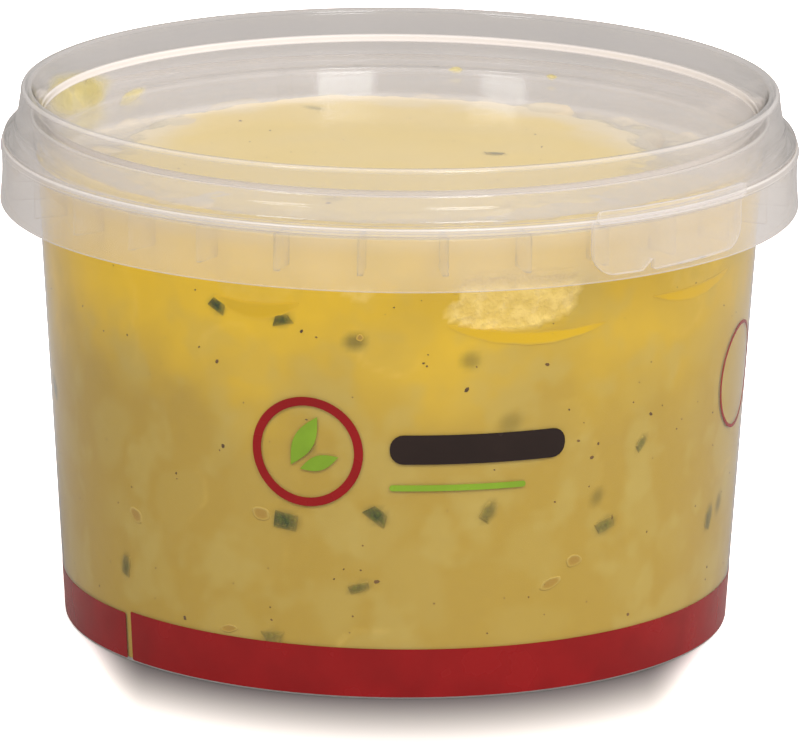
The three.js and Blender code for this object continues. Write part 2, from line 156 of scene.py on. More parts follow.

# Hollows between salad and wall: middle azimuth, half width in degrees, lowest height, depth, paleness,
# which is partly the potato's own colour and partly painted light
HOLLOWS = [
    (18.4, 10.3, 54.7 * MM, 1.1 * MM, 1.0),
    (-22.8, 6, 57.8 * MM, 0.3 * MM, 0.12),
    (55, 9, 57 * MM, 0.3 * MM, 0.15),
    (-6.6, 3.6, 59.6 * MM, 0.4 * MM, 0.5),
    (-74, 7, 60.5 * MM, 0.3 * MM, 0.15),
    (108, 11, 57.5 * MM, 1.3 * MM, 0.8),
    (151, 8, 59.5 * MM, 1.1 * MM, 0.5),
    (-158, 12, 56.5 * MM, 1.4 * MM, 0.9),
    (-118, 7, 60 * MM, 0.9 * MM, 0.3),
]

# Oil along the lower edge of a hollow: three azimuth and height pairs, and its greatest width
OIL_LINES = [
    ((7.6, 56.2 * MM), (19.5, 53.9 * MM), (34.6, 54.9 * MM), 2.0 * MM),
    ((-29.8, 58.8 * MM), (-23, 57.4 * MM), (-15.6, 59.0 * MM), 2.6 * MM),
    ((44.2, 57.4 * MM), (53.3, 56.4 * MM), (66, 57.9 * MM), 1.8 * MM),
    ((97, 58 * MM), (108, 56.6 * MM), (119, 58.2 * MM), 1.1 * MM),
    ((-170, 57 * MM), (-158, 55.6 * MM), (-146, 57 * MM), 1.2 * MM),
]

# Chive pieces against the front wall: azimuth, height, turn, length, width, how far dressing covers them
FRONT_CHIVES = [
    (-29.4, 57.4 * MM, -28, 2.5 * MM, 1.8 * MM, 0),
    (-18.3, 56.4 * MM, 12, 2.5 * MM, 1.6 * MM, 0.03),
    (-6.7, 53.8 * MM, 5, 2.9 * MM, 2.2 * MM, 0.45),
    (11.5, 51.0 * MM, 0, 2.6 * MM, 2.2 * MM, 0.7),
    (43.5, 35.4 * MM, 50, 2.2 * MM, 1.4 * MM, 0.35),
    (-15.1, 37.6 * MM, -10, 3.0 * MM, 2.2 * MM, 0.5),
    (-18.2, 26.2 * MM, -8, 3.5 * MM, 2.6 * MM, 0.04),
    (-3.1, 27.8 * MM, -38, 3.1 * MM, 2.2 * MM, 0.04),
    (-51.8, 14.6 * MM, 80, 3.0 * MM, 1.9 * MM, 0.3),
    (-6, 16.8 * MM, 18, 2.9 * MM, 1.4 * MM, 0.25),
    (-20.8, 8.3 * MM, 5, 2.6 * MM, 2.0 * MM, 0.4),
    (15.1, 28.1 * MM, 60, 2.9 * MM, 1.9 * MM, 0.4),
    (36.7, 24 * MM, 15, 3.2 * MM, 1.9 * MM, 0.3),
    (34.7, 28.5 * MM, 60, 2.4 * MM, 1.8 * MM, 0.7),
    (65.5, 20 * MM, 75, 3.3 * MM, 2.2 * MM, 0.3),
    (70, 21.2 * MM, 70, 2.8 * MM, 2.0 * MM, 0.5),
    (18.3, 41.3 * MM, 20, 3.4 * MM, 2.6 * MM, 0.8),
]

# The darkest pepper specks on the front wall: azimuth, height, half size
FRONT_SPECKS = [
    (-15.2, 54.9 * MM, 0.24 * MM),
    (-29.8, 49.0 * MM, 0.3 * MM),
    (24.2, 49.6 * MM, 0.28 * MM),
    (11.0, 46.7 * MM, 0.36 * MM),
    (33.2, 34.7 * MM, 0.3 * MM),
    (38.0, 24.9 * MM, 0.28 * MM),
    (42.9, 9.4 * MM, 0.3 * MM),
    (-29.1, 36.4 * MM, 0.28 * MM),
    (-38.6, 30.9 * MM, 0.22 * MM),
    (-37.9, 9.0 * MM, 0.34 * MM),
    (-3.1, 17.8 * MM, 0.3 * MM),
    (30.5, 37.5 * MM, 0.24 * MM),
    (34.4, 36.6 * MM, 0.24 * MM),
    (45.3, 39.5 * MM, 0.28 * MM),
]

# Specks on top that show through the lid: azimuth, radius, half size
TOP_SPECKS = [
    (-15.5, 43.3 * MM, 0.4 * MM),
    (-15, 39.2 * MM, 0.4 * MM),
    (-122.6, 28.3 * MM, 0.4 * MM),
]

# Salad squeezed up between the tub's rim and the lid: azimuth, height, half width, half height, turn
SMEARS = [
    (-112, 73.4 * MM, 12 * MM, 3.6 * MM, 4),
    (-118.5, 72.6 * MM, 3.2 * MM, 2.6 * MM, 0),
    (-128, 70.4 * MM, 4 * MM, 0.9 * MM, -10),
    (170.7, 71.0 * MM, 1.3 * MM, 0.5 * MM, 0),
    (153.7, 71.0 * MM, 1.1 * MM, 0.45 * MM, 0),
    (78, 71.6 * MM, 2.5 * MM, 0.8 * MM, 0),
]

# Air trapped against the wall: azimuth, height, half length, half height, turn
AIR_POCKETS = [
    (-22.5, 26.9 * MM, 1.4 * MM, 0.95 * MM, -15),
    (-48.4, 22.9 * MM, 1.5 * MM, 1.0 * MM, -35),
    (30.7, 19.4 * MM, 1.35 * MM, 0.85 * MM, 5),
    (26.5, 16.4 * MM, 1.75 * MM, 0.8 * MM, 22),
    (-28.9, 8.7 * MM, 1.3 * MM, 0.6 * MM, 8),
    (-5.9, 54.4 * MM, 0.5 * MM, 0.5 * MM, 0),
    (97, 31 * MM, 1.4 * MM, 0.9 * MM, 30),
    (141, 16 * MM, 1.2 * MM, 0.8 * MM, -10),
    (-166, 42 * MM, 1.6 * MM, 0.9 * MM, 12),
    (-124, 22 * MM, 1.3 * MM, 0.9 * MM, -25),
    (-93, 44 * MM, 1.1 * MM, 0.8 * MM, 40),
]

# Section of a chive piece, out along its stem and back through its bore: share of length, share of width
CHIVE_BORE = 0.74
CHIVE_STATIONS = [
    (-0.5, 0.97), (-0.47, 1), (-0.2, 0.97), (0.1, 0.98), (0.47, 1), (0.5, 0.96), (0.5, CHIVE_BORE),
    (0.3, 0.9 * CHIVE_BORE), (0, 0.86 * CHIVE_BORE), (-0.3, 0.9 * CHIVE_BORE), (-0.5, CHIVE_BORE),
]

# Sections of blots, from the middle of the front out to the rim and back behind: share, height
AIR_STATIONS = [
    (0, 0.07 * MM), (0.35, 0.07 * MM), (0.62, 0.07 * MM), (0.78, 0.085 * MM), (0.88, 0.12 * MM),
    (0.97, 0.1 * MM), (1.08, -0.05 * MM), (1.08, -0.25 * MM), (0, -0.25 * MM),
]
SMEAR_STATIONS = [
    (0, 0.2 * MM), (0.3, 0.2 * MM), (0.55, 0.19 * MM), (0.75, 0.16 * MM),
    (0.9, 0.12 * MM), (1, 0.06 * MM), (1, 0.03 * MM), (0, 0.03 * MM),
]

# Section of an oil line, from its lower to its upper edge, and its steps along the line
OIL_STATIONS = (-1, -0.85, -0.6, -0.3, 0, 0.3, 0.6, 0.85, 1)
OIL_STEPS = 40
OIL_FRONT = 0.07 * MM  # how far the line's front and back stand out from the salad's face
OIL_BACK = -0.6 * MM

# Print: places are metres round the front at mid height, and metres up
FILM = 0.05 * MM  # thickness of the print over the wall
FILM_SEAT = 0.01 * MM  # how deep the film's back lies in the wall
FILM_PITCH = 1.2 * MM  # spacing of the points over a film
LEAF_PITCH = 1 * MM
BAND_PITCH = 1.4 * MM
BAND_SEAM = -51.6  # azimuth of the gap between the band's ends
BAND_GAP = 1.3 * MM
BAND_ROUNDING = 0.2 * MM
PRINT_RINGS = [  # middle, outer radius, inner radius
    ((-13 * MM, 37 * MM), 8.2 * MM, 6.9 * MM),
    ((67 * MM, 40 * MM), 8 * MM, 7.5 * MM),
]
PRINT_LEAVES = [  # middle, length, width, turn
    ((-13.4 * MM, 38.6 * MM), 8.4 * MM, 3 * MM, 62),
    ((-11.2 * MM, 35.4 * MM), 6 * MM, 2.2 * MM, 20),
]
THIN_BAR = (-1 * MM, 31.6 * MM, 19 * MM, 32.5 * MM)  # left, bottom, right, top
THICK_BAR = (-1 * MM, 35.6 * MM, 25 * MM, 40 * MM)

# Softboxes: azimuth, elevation, distance, width, height, strength, whether they show in the gloss
SOFTBOXES = {
    "right_light": (23, 50, 1.3, 0.34, 0.46, 3.2, True),
    "left_light": (-43, 50, 1.3, 0.27, 0.46, 1.8, True),
    "overhead_light": (0, 84, 1.3, 0.9, 0.25, 1.5, True),
    "right_fill": (22, 42, 1.3, 1.3, 0.6, 6.0, False),
    "left_fill": (-38, 44, 1.3, 0.6, 0.6, 3.45, False),
    "right_side_light": (78, 30, 1.2, 0.6, 0.8, 4.8, False),
    "left_side_light": (-85, 30, 1.2, 0.5, 0.8, 0.3, False),
    "top_light": (-150, 74, 1.3, 0.9, 0.9, 0.7, False),
}
LIGHT_AIM = Vector((0, 0, 40 * MM))
FLOOR_REACH = 6.0  # how many metres the floor reaches each way
SHADOW_DEPTH = 0.43  # how bright the floor looks right in front of the foot
SHADOW_REACH = 23  # how many millimetres in front of the foot the painted shadow ends
WHITE_LEVEL = 0.622  # the floor just looks white at this share, as displayed, of its full gain
DISPLAY_GAMMA = 2.2


class TubSettings(bpy.types.PropertyGroup):
    """Sizes and look of the tub."""

    foot_radius: FloatProperty(
        name="Foot radius", description="Outside of the body at the floor",
        default=49.3 * MM, unit="LENGTH", subtype="DISTANCE")
    body_top_radius: FloatProperty(
        name="Body top radius", description="Outside of the body under the ledge",
        default=53.7 * MM, unit="LENGTH", subtype="DISTANCE")
    wall: FloatProperty(
        name="Wall", description="Thickness of the body's wall",
        default=0.85 * MM, unit="LENGTH", subtype="DISTANCE")
    collar_bottom: FloatProperty(
        name="Collar bottom", description="Height of the collar's lower edge",
        default=62.6 * MM, unit="LENGTH", subtype="DISTANCE")
    collar_wall: FloatProperty(
        name="Collar wall", description="Thickness of the collar",
        default=0.7 * MM, unit="LENGTH", subtype="DISTANCE")
    rib_count: IntProperty(
        name="Ribs", description="Webs between body and collar", default=30, min=3, max=90)
    tint: FloatVectorProperty(
        name="Tint", description="Colour of the plastic where it is thick",
        default=(0.94, 0.87, 0.82), size=3, subtype="COLOR", min=0, max=1)
    haze: FloatProperty(
        name="Haze", description="Share of light that one surface of the wall scatters",
        default=0.098, min=0, max=1, subtype="FACTOR")
    wet_haze: FloatProperty(
        name="Wet haze", description="The same where salad lies against the wall",
        default=0.012, min=0, max=1, subtype="FACTOR")


class LidSettings(bpy.types.PropertyGroup):
    """Sizes and look of the lid."""

    panel_radius: FloatProperty(
        name="Panel radius", description="Radius of the sunk panel",
        default=51.4 * MM, unit="LENGTH", subtype="DISTANCE")
    wall: FloatProperty(
        name="Wall", description="Thickness of the lid",
        default=0.7 * MM, unit="LENGTH", subtype="DISTANCE")
    waviness: FloatProperty(
        name="Waviness", description="How far the panel bends out of true",
        default=0.07 * MM, unit="LENGTH", subtype="DISTANCE")
    tint: FloatVectorProperty(
        name="Tint", description="Colour of the plastic where it is thick",
        default=(0.95, 0.875, 0.83), size=3, subtype="COLOR", min=0, max=1)
    haze: FloatProperty(
        name="Haze", description="Share of light that one surface of the lid scatters",
        default=0.027, min=0, max=1, subtype="FACTOR")
    panel_haze: FloatProperty(
        name="Panel haze", description="The same for the sunk panel",
        default=0.052, min=0, max=1, subtype="FACTOR")


class SaladSettings(bpy.types.PropertyGroup):
    """Sizes, numbers and colours of the salad."""

    mound_radius: FloatProperty(
        name="Mound radius", description="Radius of the salad pressed flat under the lid",
        default=34 * MM, unit="LENGTH", subtype="DISTANCE")
    shore_height: FloatProperty(
        name="Shore height", description="Greatest height at which the salad meets the wall",
        default=69.2 * MM, unit="LENGTH", subtype="DISTANCE")
    wall_slices: IntProperty(
        name="Wall slices", description="Potato slices along the wall", default=104, min=0, max=300)
    top_slices: IntProperty(
        name="Top slices", description="Potato slices on top", default=44, min=0, max=150)
    back_chives: IntProperty(
        name="Back chives", description="Chive pieces along the rest of the wall", default=34, min=0)
    top_chives: IntProperty(
        name="Top chives", description="Chive pieces on top", default=4, min=0)
    specks: IntProperty(
        name="Specks", description="Small pepper specks", default=330, min=0)
    seed: IntProperty(name="Seed", description="Draw of the scattered pieces", default=41)
    dressing: FloatVectorProperty(
        name="Dressing", description="Creamy dressing",
        default=(0.5, 0.33, 0.042), size=3, subtype="COLOR", min=0, max=1)
    golden: FloatVectorProperty(
        name="Golden dressing", description="Dressing where oil has gathered in it",
        default=(0.94, 0.61, 0.008), size=3, subtype="COLOR", min=0, max=1)
    potato: FloatVectorProperty(
        name="Potato", description="Boiled potato",
        default=(0.56, 0.42, 0.1), size=3, subtype="COLOR", min=0, max=1)
    chive: FloatVectorProperty(
        name="Chive", description="Skin of the chive pieces",
        default=(0.022, 0.04, 0.0), size=3, subtype="COLOR", min=0, max=1)
    pepper: FloatVectorProperty(
        name="Pepper", description="Pepper specks",
        default=(0.22, 0.11, 0.02), size=3, subtype="COLOR", min=0, max=1)
    oil: FloatVectorProperty(
        name="Oil", description="Yellow oil",
        default=(0.76, 0.48, 0.0), size=3, subtype="COLOR", min=0, max=1)


class PrintSettings(bpy.types.PropertyGroup):
    """Heights and colours of the print on the wall."""

    band_bottom: FloatProperty(
        name="Band bottom", description="Lower edge of the foot band",
        default=0.3 * MM, unit="LENGTH", subtype="DISTANCE")
    band_top: FloatProperty(
        name="Band top", description="Upper edge of the foot band",
        default=7.7 * MM, unit="LENGTH", subtype="DISTANCE")
    skew: FloatProperty(
        name="Skew", description="Fall of the band over one turn, which shows as a step at its seam",
        default=0.5 * MM, unit="LENGTH", subtype="DISTANCE")
    red: FloatVectorProperty(
        name="Red", description="Band and ring",
        default=(0.31, 0.007, 0.008), size=3, subtype="COLOR", min=0, max=1)
    dark: FloatVectorProperty(
        name="Dark", description="Thick bar",
        default=(0.024, 0.013, 0.01), size=3, subtype="COLOR", min=0, max=1)
    green: FloatVectorProperty(
        name="Green", description="Leaf and thin bar",
        default=(0.25, 0.42, 0.03), size=3, subtype="COLOR", min=0, max=1)


class StageSettings(bpy.types.PropertyGroup):
    """Camera, floor and lights."""

    distance: FloatProperty(
        name="Distance", description="From the camera to the point it looks at",
        default=1310.6 * MM, unit="LENGTH", subtype="DISTANCE")
    elevation: FloatProperty(
        name="Elevation", description="Camera angle above the horizon",
        default=math.radians(14.279), unit="ROTATION", subtype="ANGLE")
    roll: FloatProperty(
        name="Roll", description="Turn of the camera round its own axis",
        default=math.radians(0.568), unit="ROTATION", subtype="ANGLE")
    lens: FloatProperty(
        name="Lens", description="Focal length in millimetres", default=396.9, unit="CAMERA")
    aim_height: FloatProperty(
        name="Aim height", description="Height of the point that the camera looks at",
        default=36.316 * MM, unit="LENGTH", subtype="DISTANCE")
    aim_side: FloatProperty(
        name="Aim side", description="How far right of the axis the camera looks",
        default=0.35 * MM, unit="LENGTH", subtype="DISTANCE")
    floor: FloatVectorProperty(
        name="Floor", description="Floor colour",
        default=(0.54, 0.51, 0.495), size=3, subtype="COLOR", min=0, max=1)
    backdrop_gain: FloatProperty(
        name="Backdrop gain", description="How much brighter the bare floor looks than it lights",
        default=5.6)
    sky: FloatProperty(name="Sky", description="Strength of the even light all round", default=0.37)


def on_round(radius, azimuth, height):
    """A point on a circle round the axis."""
    angle = math.radians(azimuth)
    return Vector((radius * math.sin(angle), -radius * math.cos(angle), height))


def body_radius(height):
    """Outside of the tub's body at a height."""
    sizes = bpy.context.scene.tub_settings
    share = height / PANEL_UNDERSIDE
    return sizes.foot_radius + (sizes.body_top_radius - sizes.foot_radius) * share


def contact_radius(height):
    """Radius of the salad where it lies against the wall."""
    return body_radius(height) - bpy.context.scene.tub_settings.wall + INTO_WALL


def contact_height():
    """Height of the salad where it lies against the lid's panel."""
    return PANEL_UNDERSIDE + INTO_WALL


def smooth(value, start, end):
    """Smooth rise from 0 at start to 1 at end, for numbers and arrays."""
    share = np.clip((value - start) / (end - start), 0, 1)
    return share * share * (3 - 2 * share)


def wobble(points, scale, offset=0.0):
    """Noise between about -1 and 1 at each point, with features of about the given size."""
    shift = Vector((offset, 1.7 * offset, -offset))
    return np.array([noise.noise(Vector(p) / scale + shift) for p in points])


def corner_arc(before, corner, after, fillet):
    """Points of a rounded corner, with a supporting point on each side."""
    back = before - corner
    ahead = after - corner
    half = back.angle(ahead) / 2
    if fillet <= 0 or half > 0.499 * math.pi:
        return [corner]
    reach = min(fillet / math.tan(half), 0.45 * back.length, 0.45 * ahead.length)
    back.normalize()
    ahead.normalize()
    centre = corner + (back + ahead).normalized() * reach / math.cos(half)
    start = corner + back * reach - centre
    end = corner + ahead * reach - centre
    turn = math.pi - 2 * half
    steps = max(2, math.ceil(turn / ARC_STEP))
    arc = []
    for i in range(steps + 1):
        share = i / steps
        first = math.sin((1 - share) * turn) / math.sin(turn)
        second = math.sin(share * turn) / math.sin(turn)
        arc.append(centre + start * first + end * second)
    return [arc[0] + back * SUPPORT, *arc, arc[-1] + ahead * SUPPORT]


def rounded(corners, closed=False):
    """Points along (across, up, fillet) corners, with the corners rounded."""
    flat = [Vector(corner[:2]) for corner in corners]
    fillets = [corner[2] for corner in corners]
    count = len(flat)
    line = []
    for i in range(count):
        if not closed and i in (0, count - 1):
            line.append(flat[i])
            continue
        line += corner_arc(flat[i - 1], flat[i], flat[(i + 1) % count], fillets[i])
    return line


def divided(line, pitch):
    """The same line with points added, so that no step is longer than the pitch."""
    points = [line[0]]
    for start, end in zip(line, line[1:]):
        steps = max(1, math.ceil((end - start).length / pitch))
        points += [start.lerp(end, i / steps) for i in range(1, steps + 1)]
    return points


def closed_outline(corners):
    """A closed line round (across, up, fillet) corners, with no step longer than the outline pitch."""
    loop = rounded(corners, closed=True)
    return divided(loop + loop[:1], OUTLINE_PITCH)[:-1]


def ring_faces(rings):
    """Faces between neighbouring rings of vertex numbers; a ring of one repeated number is a tip."""
    faces = []
    for lower, upper in zip(rings, rings[1:]):
        for i in range(len(lower)):
            j = (i + 1) % len(lower)
            faces.append(list(dict.fromkeys((lower[i], lower[j], upper[j], upper[i]))))
    return faces


def turned(line, segments):
    """Vertices and faces of a (radius, height) line turned round the axis, both ends on the axis."""
    vertices, rings = [], []
    for radius, height in line:
        start = len(vertices)
        if radius < 1e-7:
            vertices.append((0, 0, height))
            rings.append([start] * segments)
            continue
        vertices += [on_round(radius, 360 * i / segments, height) for i in range(segments)]
        rings.append(range(start, start + segments))
    return vertices, ring_faces(rings)


def edge_painted_highlight(vertices, corners):
    """How brightly each vertex of a turned piece shows as a rounded edge, as a painted highlight of extra
    haze: 0 on the flats.
    """
    points = np.array([tuple(v) for v in vertices])
    flat = np.column_stack([np.hypot(points[:, 0], points[:, 1]), points[:, 2]])
    painted_highlight = np.zeros(len(flat))
    for radius, height, fillet, *strength in corners:
        if strength:
            away = np.linalg.norm(flat - np.array((radius, height)), axis=1)
            painted_highlight = np.maximum(painted_highlight, strength[0] * smooth(away, fillet + SUPPORT, 0.5 * fillet))
    return painted_highlight


def within(point, loops):
    """Whether a flat point lies inside the first loop and outside the others."""
    odd = False
    for loop in loops:
        for a, b in zip(loop, loop[1:] + loop[:1]):
            if (a.y > point.y) != (b.y > point.y):
                if point.x < a.x + (b.x - a.x) * (point.y - a.y) / (b.y - a.y):
                    odd = not odd
    return odd


def filled(loops, pitch, inset):
    """Flat points and triangles that fill the first loop and leave the others open.

    A row of points runs along the first loop, at the inset from it.
    """
    points, edges = [], []
    for loop in loops:
        start = len(points)
        points += loop
        edges += [(start + i, start + (i + 1) % len(loop)) for i in range(len(loop))]
    outline = list(points)
    if inset:
        for before, spot, after in zip(loops[0][-1:] + loops[0], loops[0], loops[0][1:] + loops[0][:1]):
            along = (after - before).normalized()
            inner = spot + Vector((-along.y, along.x)) * inset
            if min((inner - p).length for p in outline) > 0.9 * inset:
                points.append(inner)
    low = Vector((min(p.x for p in outline), min(p.y for p in outline)))
    high = Vector((max(p.x for p in outline), max(p.y for p in outline)))
    for across in np.arange(low.x + pitch / 2, high.x, pitch):
        for up in np.arange(low.y + pitch / 2, high.y, pitch):
            spot = Vector((across, up))
            if within(spot, loops) and min((spot - p).length for p in outline) > pitch / 2:
                points.append(spot)
    flat, _, triangles, *_ = delaunay_2d_cdt(points, edges, [], 0, 1e-8)
    kept = [t for t in triangles if within(sum((flat[i] for i in t), Vector((0, 0))) / 3, loops)]
    return flat, kept


def sheet(loops, pitch, place, lift, inset=0.0):
    """A thin closed sheet over flat loops. place takes across, up and height over the surface."""
    flat, top = filled(loops, pitch, inset)
    count = len(flat)
    vertices = [place(p.x, p.y, lift) for p in flat] + [place(p.x, p.y, 0) for p in flat]
    faces = [list(t) for t in top] + [[i + count for i in reversed(t)] for t in top]
    sides = {(t[i - 1], t[i]) for t in top for i in range(len(t))}
    faces += [[b, a, a + count, b + count] for a, b in sides if (b, a) not in sides]
    return vertices, faces


def blot(place, middle, half_sizes, turn, seed, stations, uneven=0.25, around=36):
    """A thin closed blot over a surface. Also the share of each vertex's way out to the rim.

    place takes across, up and height over the surface. stations are (share, height) pairs from the
    middle of the front out to the rim and back to the middle of the back.
    """
    spin = Matrix.Rotation(math.radians(turn), 2)
    vertices, shares, rings = [], [], []
    for share, lift in stations:
        start = len(vertices)
        for i in range(around if share else 1):
            angle = 2 * math.pi * i / around
            way = Vector((math.cos(angle), math.sin(angle)))
            reach = share * (1 + uneven * noise.noise(Vector((*way, seed))))
            spot = spin @ Vector((half_sizes[0] * reach * way.x, half_sizes[1] * reach * way.y))
            vertices.append(place(middle[0] + spot.x, middle[1] + spot.y, lift))
            shares.append(share)
        rings.append(range(start, start + around) if share else [start] * around)
    return vertices, [face[::-1] for face in ring_faces(rings)], shares


def joined(parts):
    """Several (vertices, faces) parts as one."""
    vertices, faces = [], []
    for part_vertices, part_faces in parts:
        start = len(vertices)
        vertices += list(part_vertices)
        faces += [[start + i for i in face] for face in part_faces]
    return vertices, faces


def add_piece(name, shape, material, stands_for=None, masks=None):
    """A piece of the object that rides on the one body and takes its finish from a slot."""
    vertices, faces = shape
    mesh = bpy.data.meshes.new(name)
    mesh.from_pydata([tuple(v) for v in vertices], [], faces)
    for mask, values in (masks or {}).items():
        layer = mesh.attributes.new(mask, "FLOAT", "POINT")
        layer.data.foreach_set("value", np.asarray(values, np.float32))
    mesh.shade_smooth()
    mesh.set_sharp_from_angle(angle=SHARP_ANGLE)
    mesh.materials.append(material)
    piece = bpy.data.objects.new(name, mesh)
    bpy.context.scene.collection.objects.link(piece)
    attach(piece, "root")
    if stands_for:
        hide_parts(stands_for)
    return piece


def soften_edges(piece, width):
    """Rounds the sharp edges of a moulded piece."""
    bevel = piece.modifiers.new("Rounding", "BEVEL")
    bevel.width = width
    bevel.segments = 2
    bevel.limit_method = "ANGLE"
    bevel.angle_limit = SHARP_ANGLE
    with bpy.context.temp_override(object=piece, active_object=piece):
        bpy.ops.object.modifier_apply(modifier=bevel.name)
    piece.data.shade_smooth()
    piece.data.set_sharp_from_angle(angle=SHARP_ANGLE)


class Wires:
    """Short calls that add nodes to a tree and link them."""

    def __init__(self, tree):
        self.tree = tree

    def feed(self, socket, value):
        """Links an output to a socket, or sets the socket to a plain value."""
        if isinstance(value, bpy.types.NodeSocket):
            self.tree.links.new(value, socket)
        elif socket.type == "RGBA" and len(value) == 3:
            socket.default_value = (*value, 1)
        else:
            socket.default_value = value

    def add(self, kind, inputs=None, **settings):
        """A new shader node with its settings and inputs."""
        made = self.tree.nodes.new("ShaderNode" + kind)
        for name, value in settings.items():
            setattr(made, name, value)
        for name, value in (inputs or {}).items():
            self.feed(made.inputs[name], value)
        return made

    def maths(self, operation, *values):
        """Result of a Math node."""
        return self.add("Math", dict(enumerate(values)), operation=operation).outputs[0]

    def times(self, first, second):
        """One value times another."""
        return self.maths("MULTIPLY", first, second)

    def line(self, value, slope, start):
        """The value times the slope, plus the start."""
        return self.maths("MULTIPLY_ADD", value, slope, start)

    def rise(self, value, start, end):
        """Smooth rise from 0 where the value is start to 1 where it is end."""
        inputs = {"Value": value, "From Min": start, "From Max": end}
        return self.add("MapRange", inputs, interpolation_type="SMOOTHSTEP").outputs[0]

    def blend(self, mask, first, second):
        """The first colour where the mask is 0, the second where it is 1."""
        return self.add("Mix", {0: mask, 6: first, 7: second}, data_type="RGBA").outputs[2]

    def grain(self, place, scale, detail):
        """Noise from 0 to 1, finer for a greater scale."""
        return self.add("TexNoise", {"Vector": place, "Scale": scale, "Detail": detail}).outputs[0]

    def mask(self, name):
        """A value that the mesh holds for each vertex."""
        return self.add("Attribute", attribute_name=name).outputs["Fac"]

    def scaled(self, vector, factor):
        """A vector or colour times a factor."""
        return self.add("VectorMath", {0: vector, "Scale": factor}, operation="SCALE").outputs[0]

    def split(self, vector):
        """The three parts of a vector."""
        return self.add("SeparateXYZ", {0: vector}).outputs

    def radius(self, place):
        """Distance of a place from the axis."""
        across, along, _up = self.split(place)
        flat = self.add("CombineXYZ", {0: across, 1: along}).outputs[0]
        return self.add("VectorMath", {0: flat}, operation="LENGTH").outputs["Value"]

    def place(self):
        """Position on the object in millimetres."""
        return self.scaled(self.add("TexCoord").outputs["Object"], 1 / MM)


def new_material(name):
    """An empty material, its wires and its Principled shader."""
    material = bpy.data.materials.new(name)
    material.use_nodes = True
    return material, Wires(material.node_tree), material.node_tree.nodes["Principled BSDF"]


def set_output(material, surface):
    """Takes the material's surface from the shader node given."""
    tree = material.node_tree
    tree.links.new(surface.outputs[0], tree.nodes["Material Output"].inputs["Surface"])


def set_finish(wires, shader, colour, roughness, specular=0.5):
    """Colour, roughness and specular level of a Principled shader."""
    wires.feed(shader.inputs["Base Color"], colour)
    wires.feed(shader.inputs["Roughness"], roughness)
    wires.feed(shader.inputs["Specular IOR Level"], specular)


def toned(colour, *gains):
    """A colour with its red, green and blue times their gains, up to full."""
    return [min(1.0, part * gain) for part, gain in zip(colour, gains)]


def new_group(name, inputs, outputs):
    """A shader node group, its wires, what its input node gives and what its output node takes."""
    tree = bpy.data.node_groups.new(name, "ShaderNodeTree")
    for socket, kind in inputs.items():
        tree.interface.new_socket(name=socket, in_out="INPUT", socket_type="NodeSocket" + kind)
    for socket, kind in outputs.items():
        tree.interface.new_socket(name=socket, in_out="OUTPUT", socket_type="NodeSocket" + kind)
    given = tree.nodes.new("NodeGroupInput").outputs
    result = tree.nodes.new("NodeGroupOutput").inputs
    return tree, Wires(tree), given, result


def placed_group(wires, name, build, values):
    """Outputs of a group node with its own values, in the object's place. The group is built once."""
    node = wires.add("Group")
    node.node_tree = bpy.data.node_groups.get(name) or build(name)
    wires.feed(node.inputs["Place"], wires.place())
    for socket, value in values.items():
        wires.feed(node.inputs[socket], value)
    return node.outputs


def moulded_haze_group(name):
    """Clouding of moulded plastic, as the share of light that one surface scatters."""
    inputs = {
        "Place": "Vector", "Dry Haze": "Float", "Wet Haze": "Float", "Wet Radius": "Float",
        "Wet Top": "Float"}
    tree, wires, given, result = new_group(name, inputs, {"Haze": "Float"})
    clouds = wires.grain(given["Place"], 0.07, 1)
    _across, _along, height = wires.split(given["Place"])
    uneven = wires.line(clouds, 0.9, 0.55)
    low = wires.rise(wires.maths("SUBTRACT", given["Wet Top"], height), 0.0, 3.0)
    inside = wires.maths("SUBTRACT", given["Wet Radius"], wires.radius(given["Place"]))
    wet = wires.times(low, wires.rise(inside, 0.0, 0.4))
    haze = wires.times(given["Dry Haze"], wires.maths("SUBTRACT", 1.0, wet))
    haze = wires.line(given["Wet Haze"], wet, haze)
    wires.feed(result["Haze"], wires.times(haze, uneven))
    return tree


def dressing_group(name):
    """Colour, roughness and height of dressing with potato mashed into it."""
    inputs = {"Place": "Vector", "Dressing": "Color", "Golden": "Color", "Potato": "Color"}
    outputs = {"Color": "Color", "Roughness": "Float", "Height": "Float"}
    tree, wires, given, result = new_group(name, inputs, outputs)
    place = given["Place"]
    across, _along, height = wires.split(place)
    broad = wires.grain(place, 0.06, 2)
    patches = wires.grain(place, 0.13, 2)
    mash = wires.grain(place, 0.55, 3)
    fine = wires.grain(place, 2.2, 3)
    # Oil gathers towards the top, the wall and the left. This is partly painted light: the golden dressing
    # makes the upper part and the left lighter, as if more light fell there.
    lifted = wires.line(broad, 34, height)
    outer = wires.line(wires.rise(wires.radius(place), 38, 48), 0.65, 0.35)
    left = wires.line(wires.rise(across, -35, 28), -0.52, 1.05)
    oil_and_painted_light = wires.times(wires.rise(lifted, 51, 83), wires.times(outer, left))
    base = wires.blend(oil_and_painted_light, given["Dressing"], given["Golden"])
    pale = wires.times(wires.rise(patches, 0.5, 0.68), wires.line(oil_and_painted_light, -0.4, 0.5))
    base = wires.blend(pale, base, given["Potato"])
    wires.feed(result["Color"], wires.scaled(base, wires.line(mash, 0.07, 0.965)))
    wires.feed(result["Roughness"], wires.line(fine, 0.2, 0.18))
    wires.feed(result["Height"], wires.line(fine, 0.35, mash))
    return tree


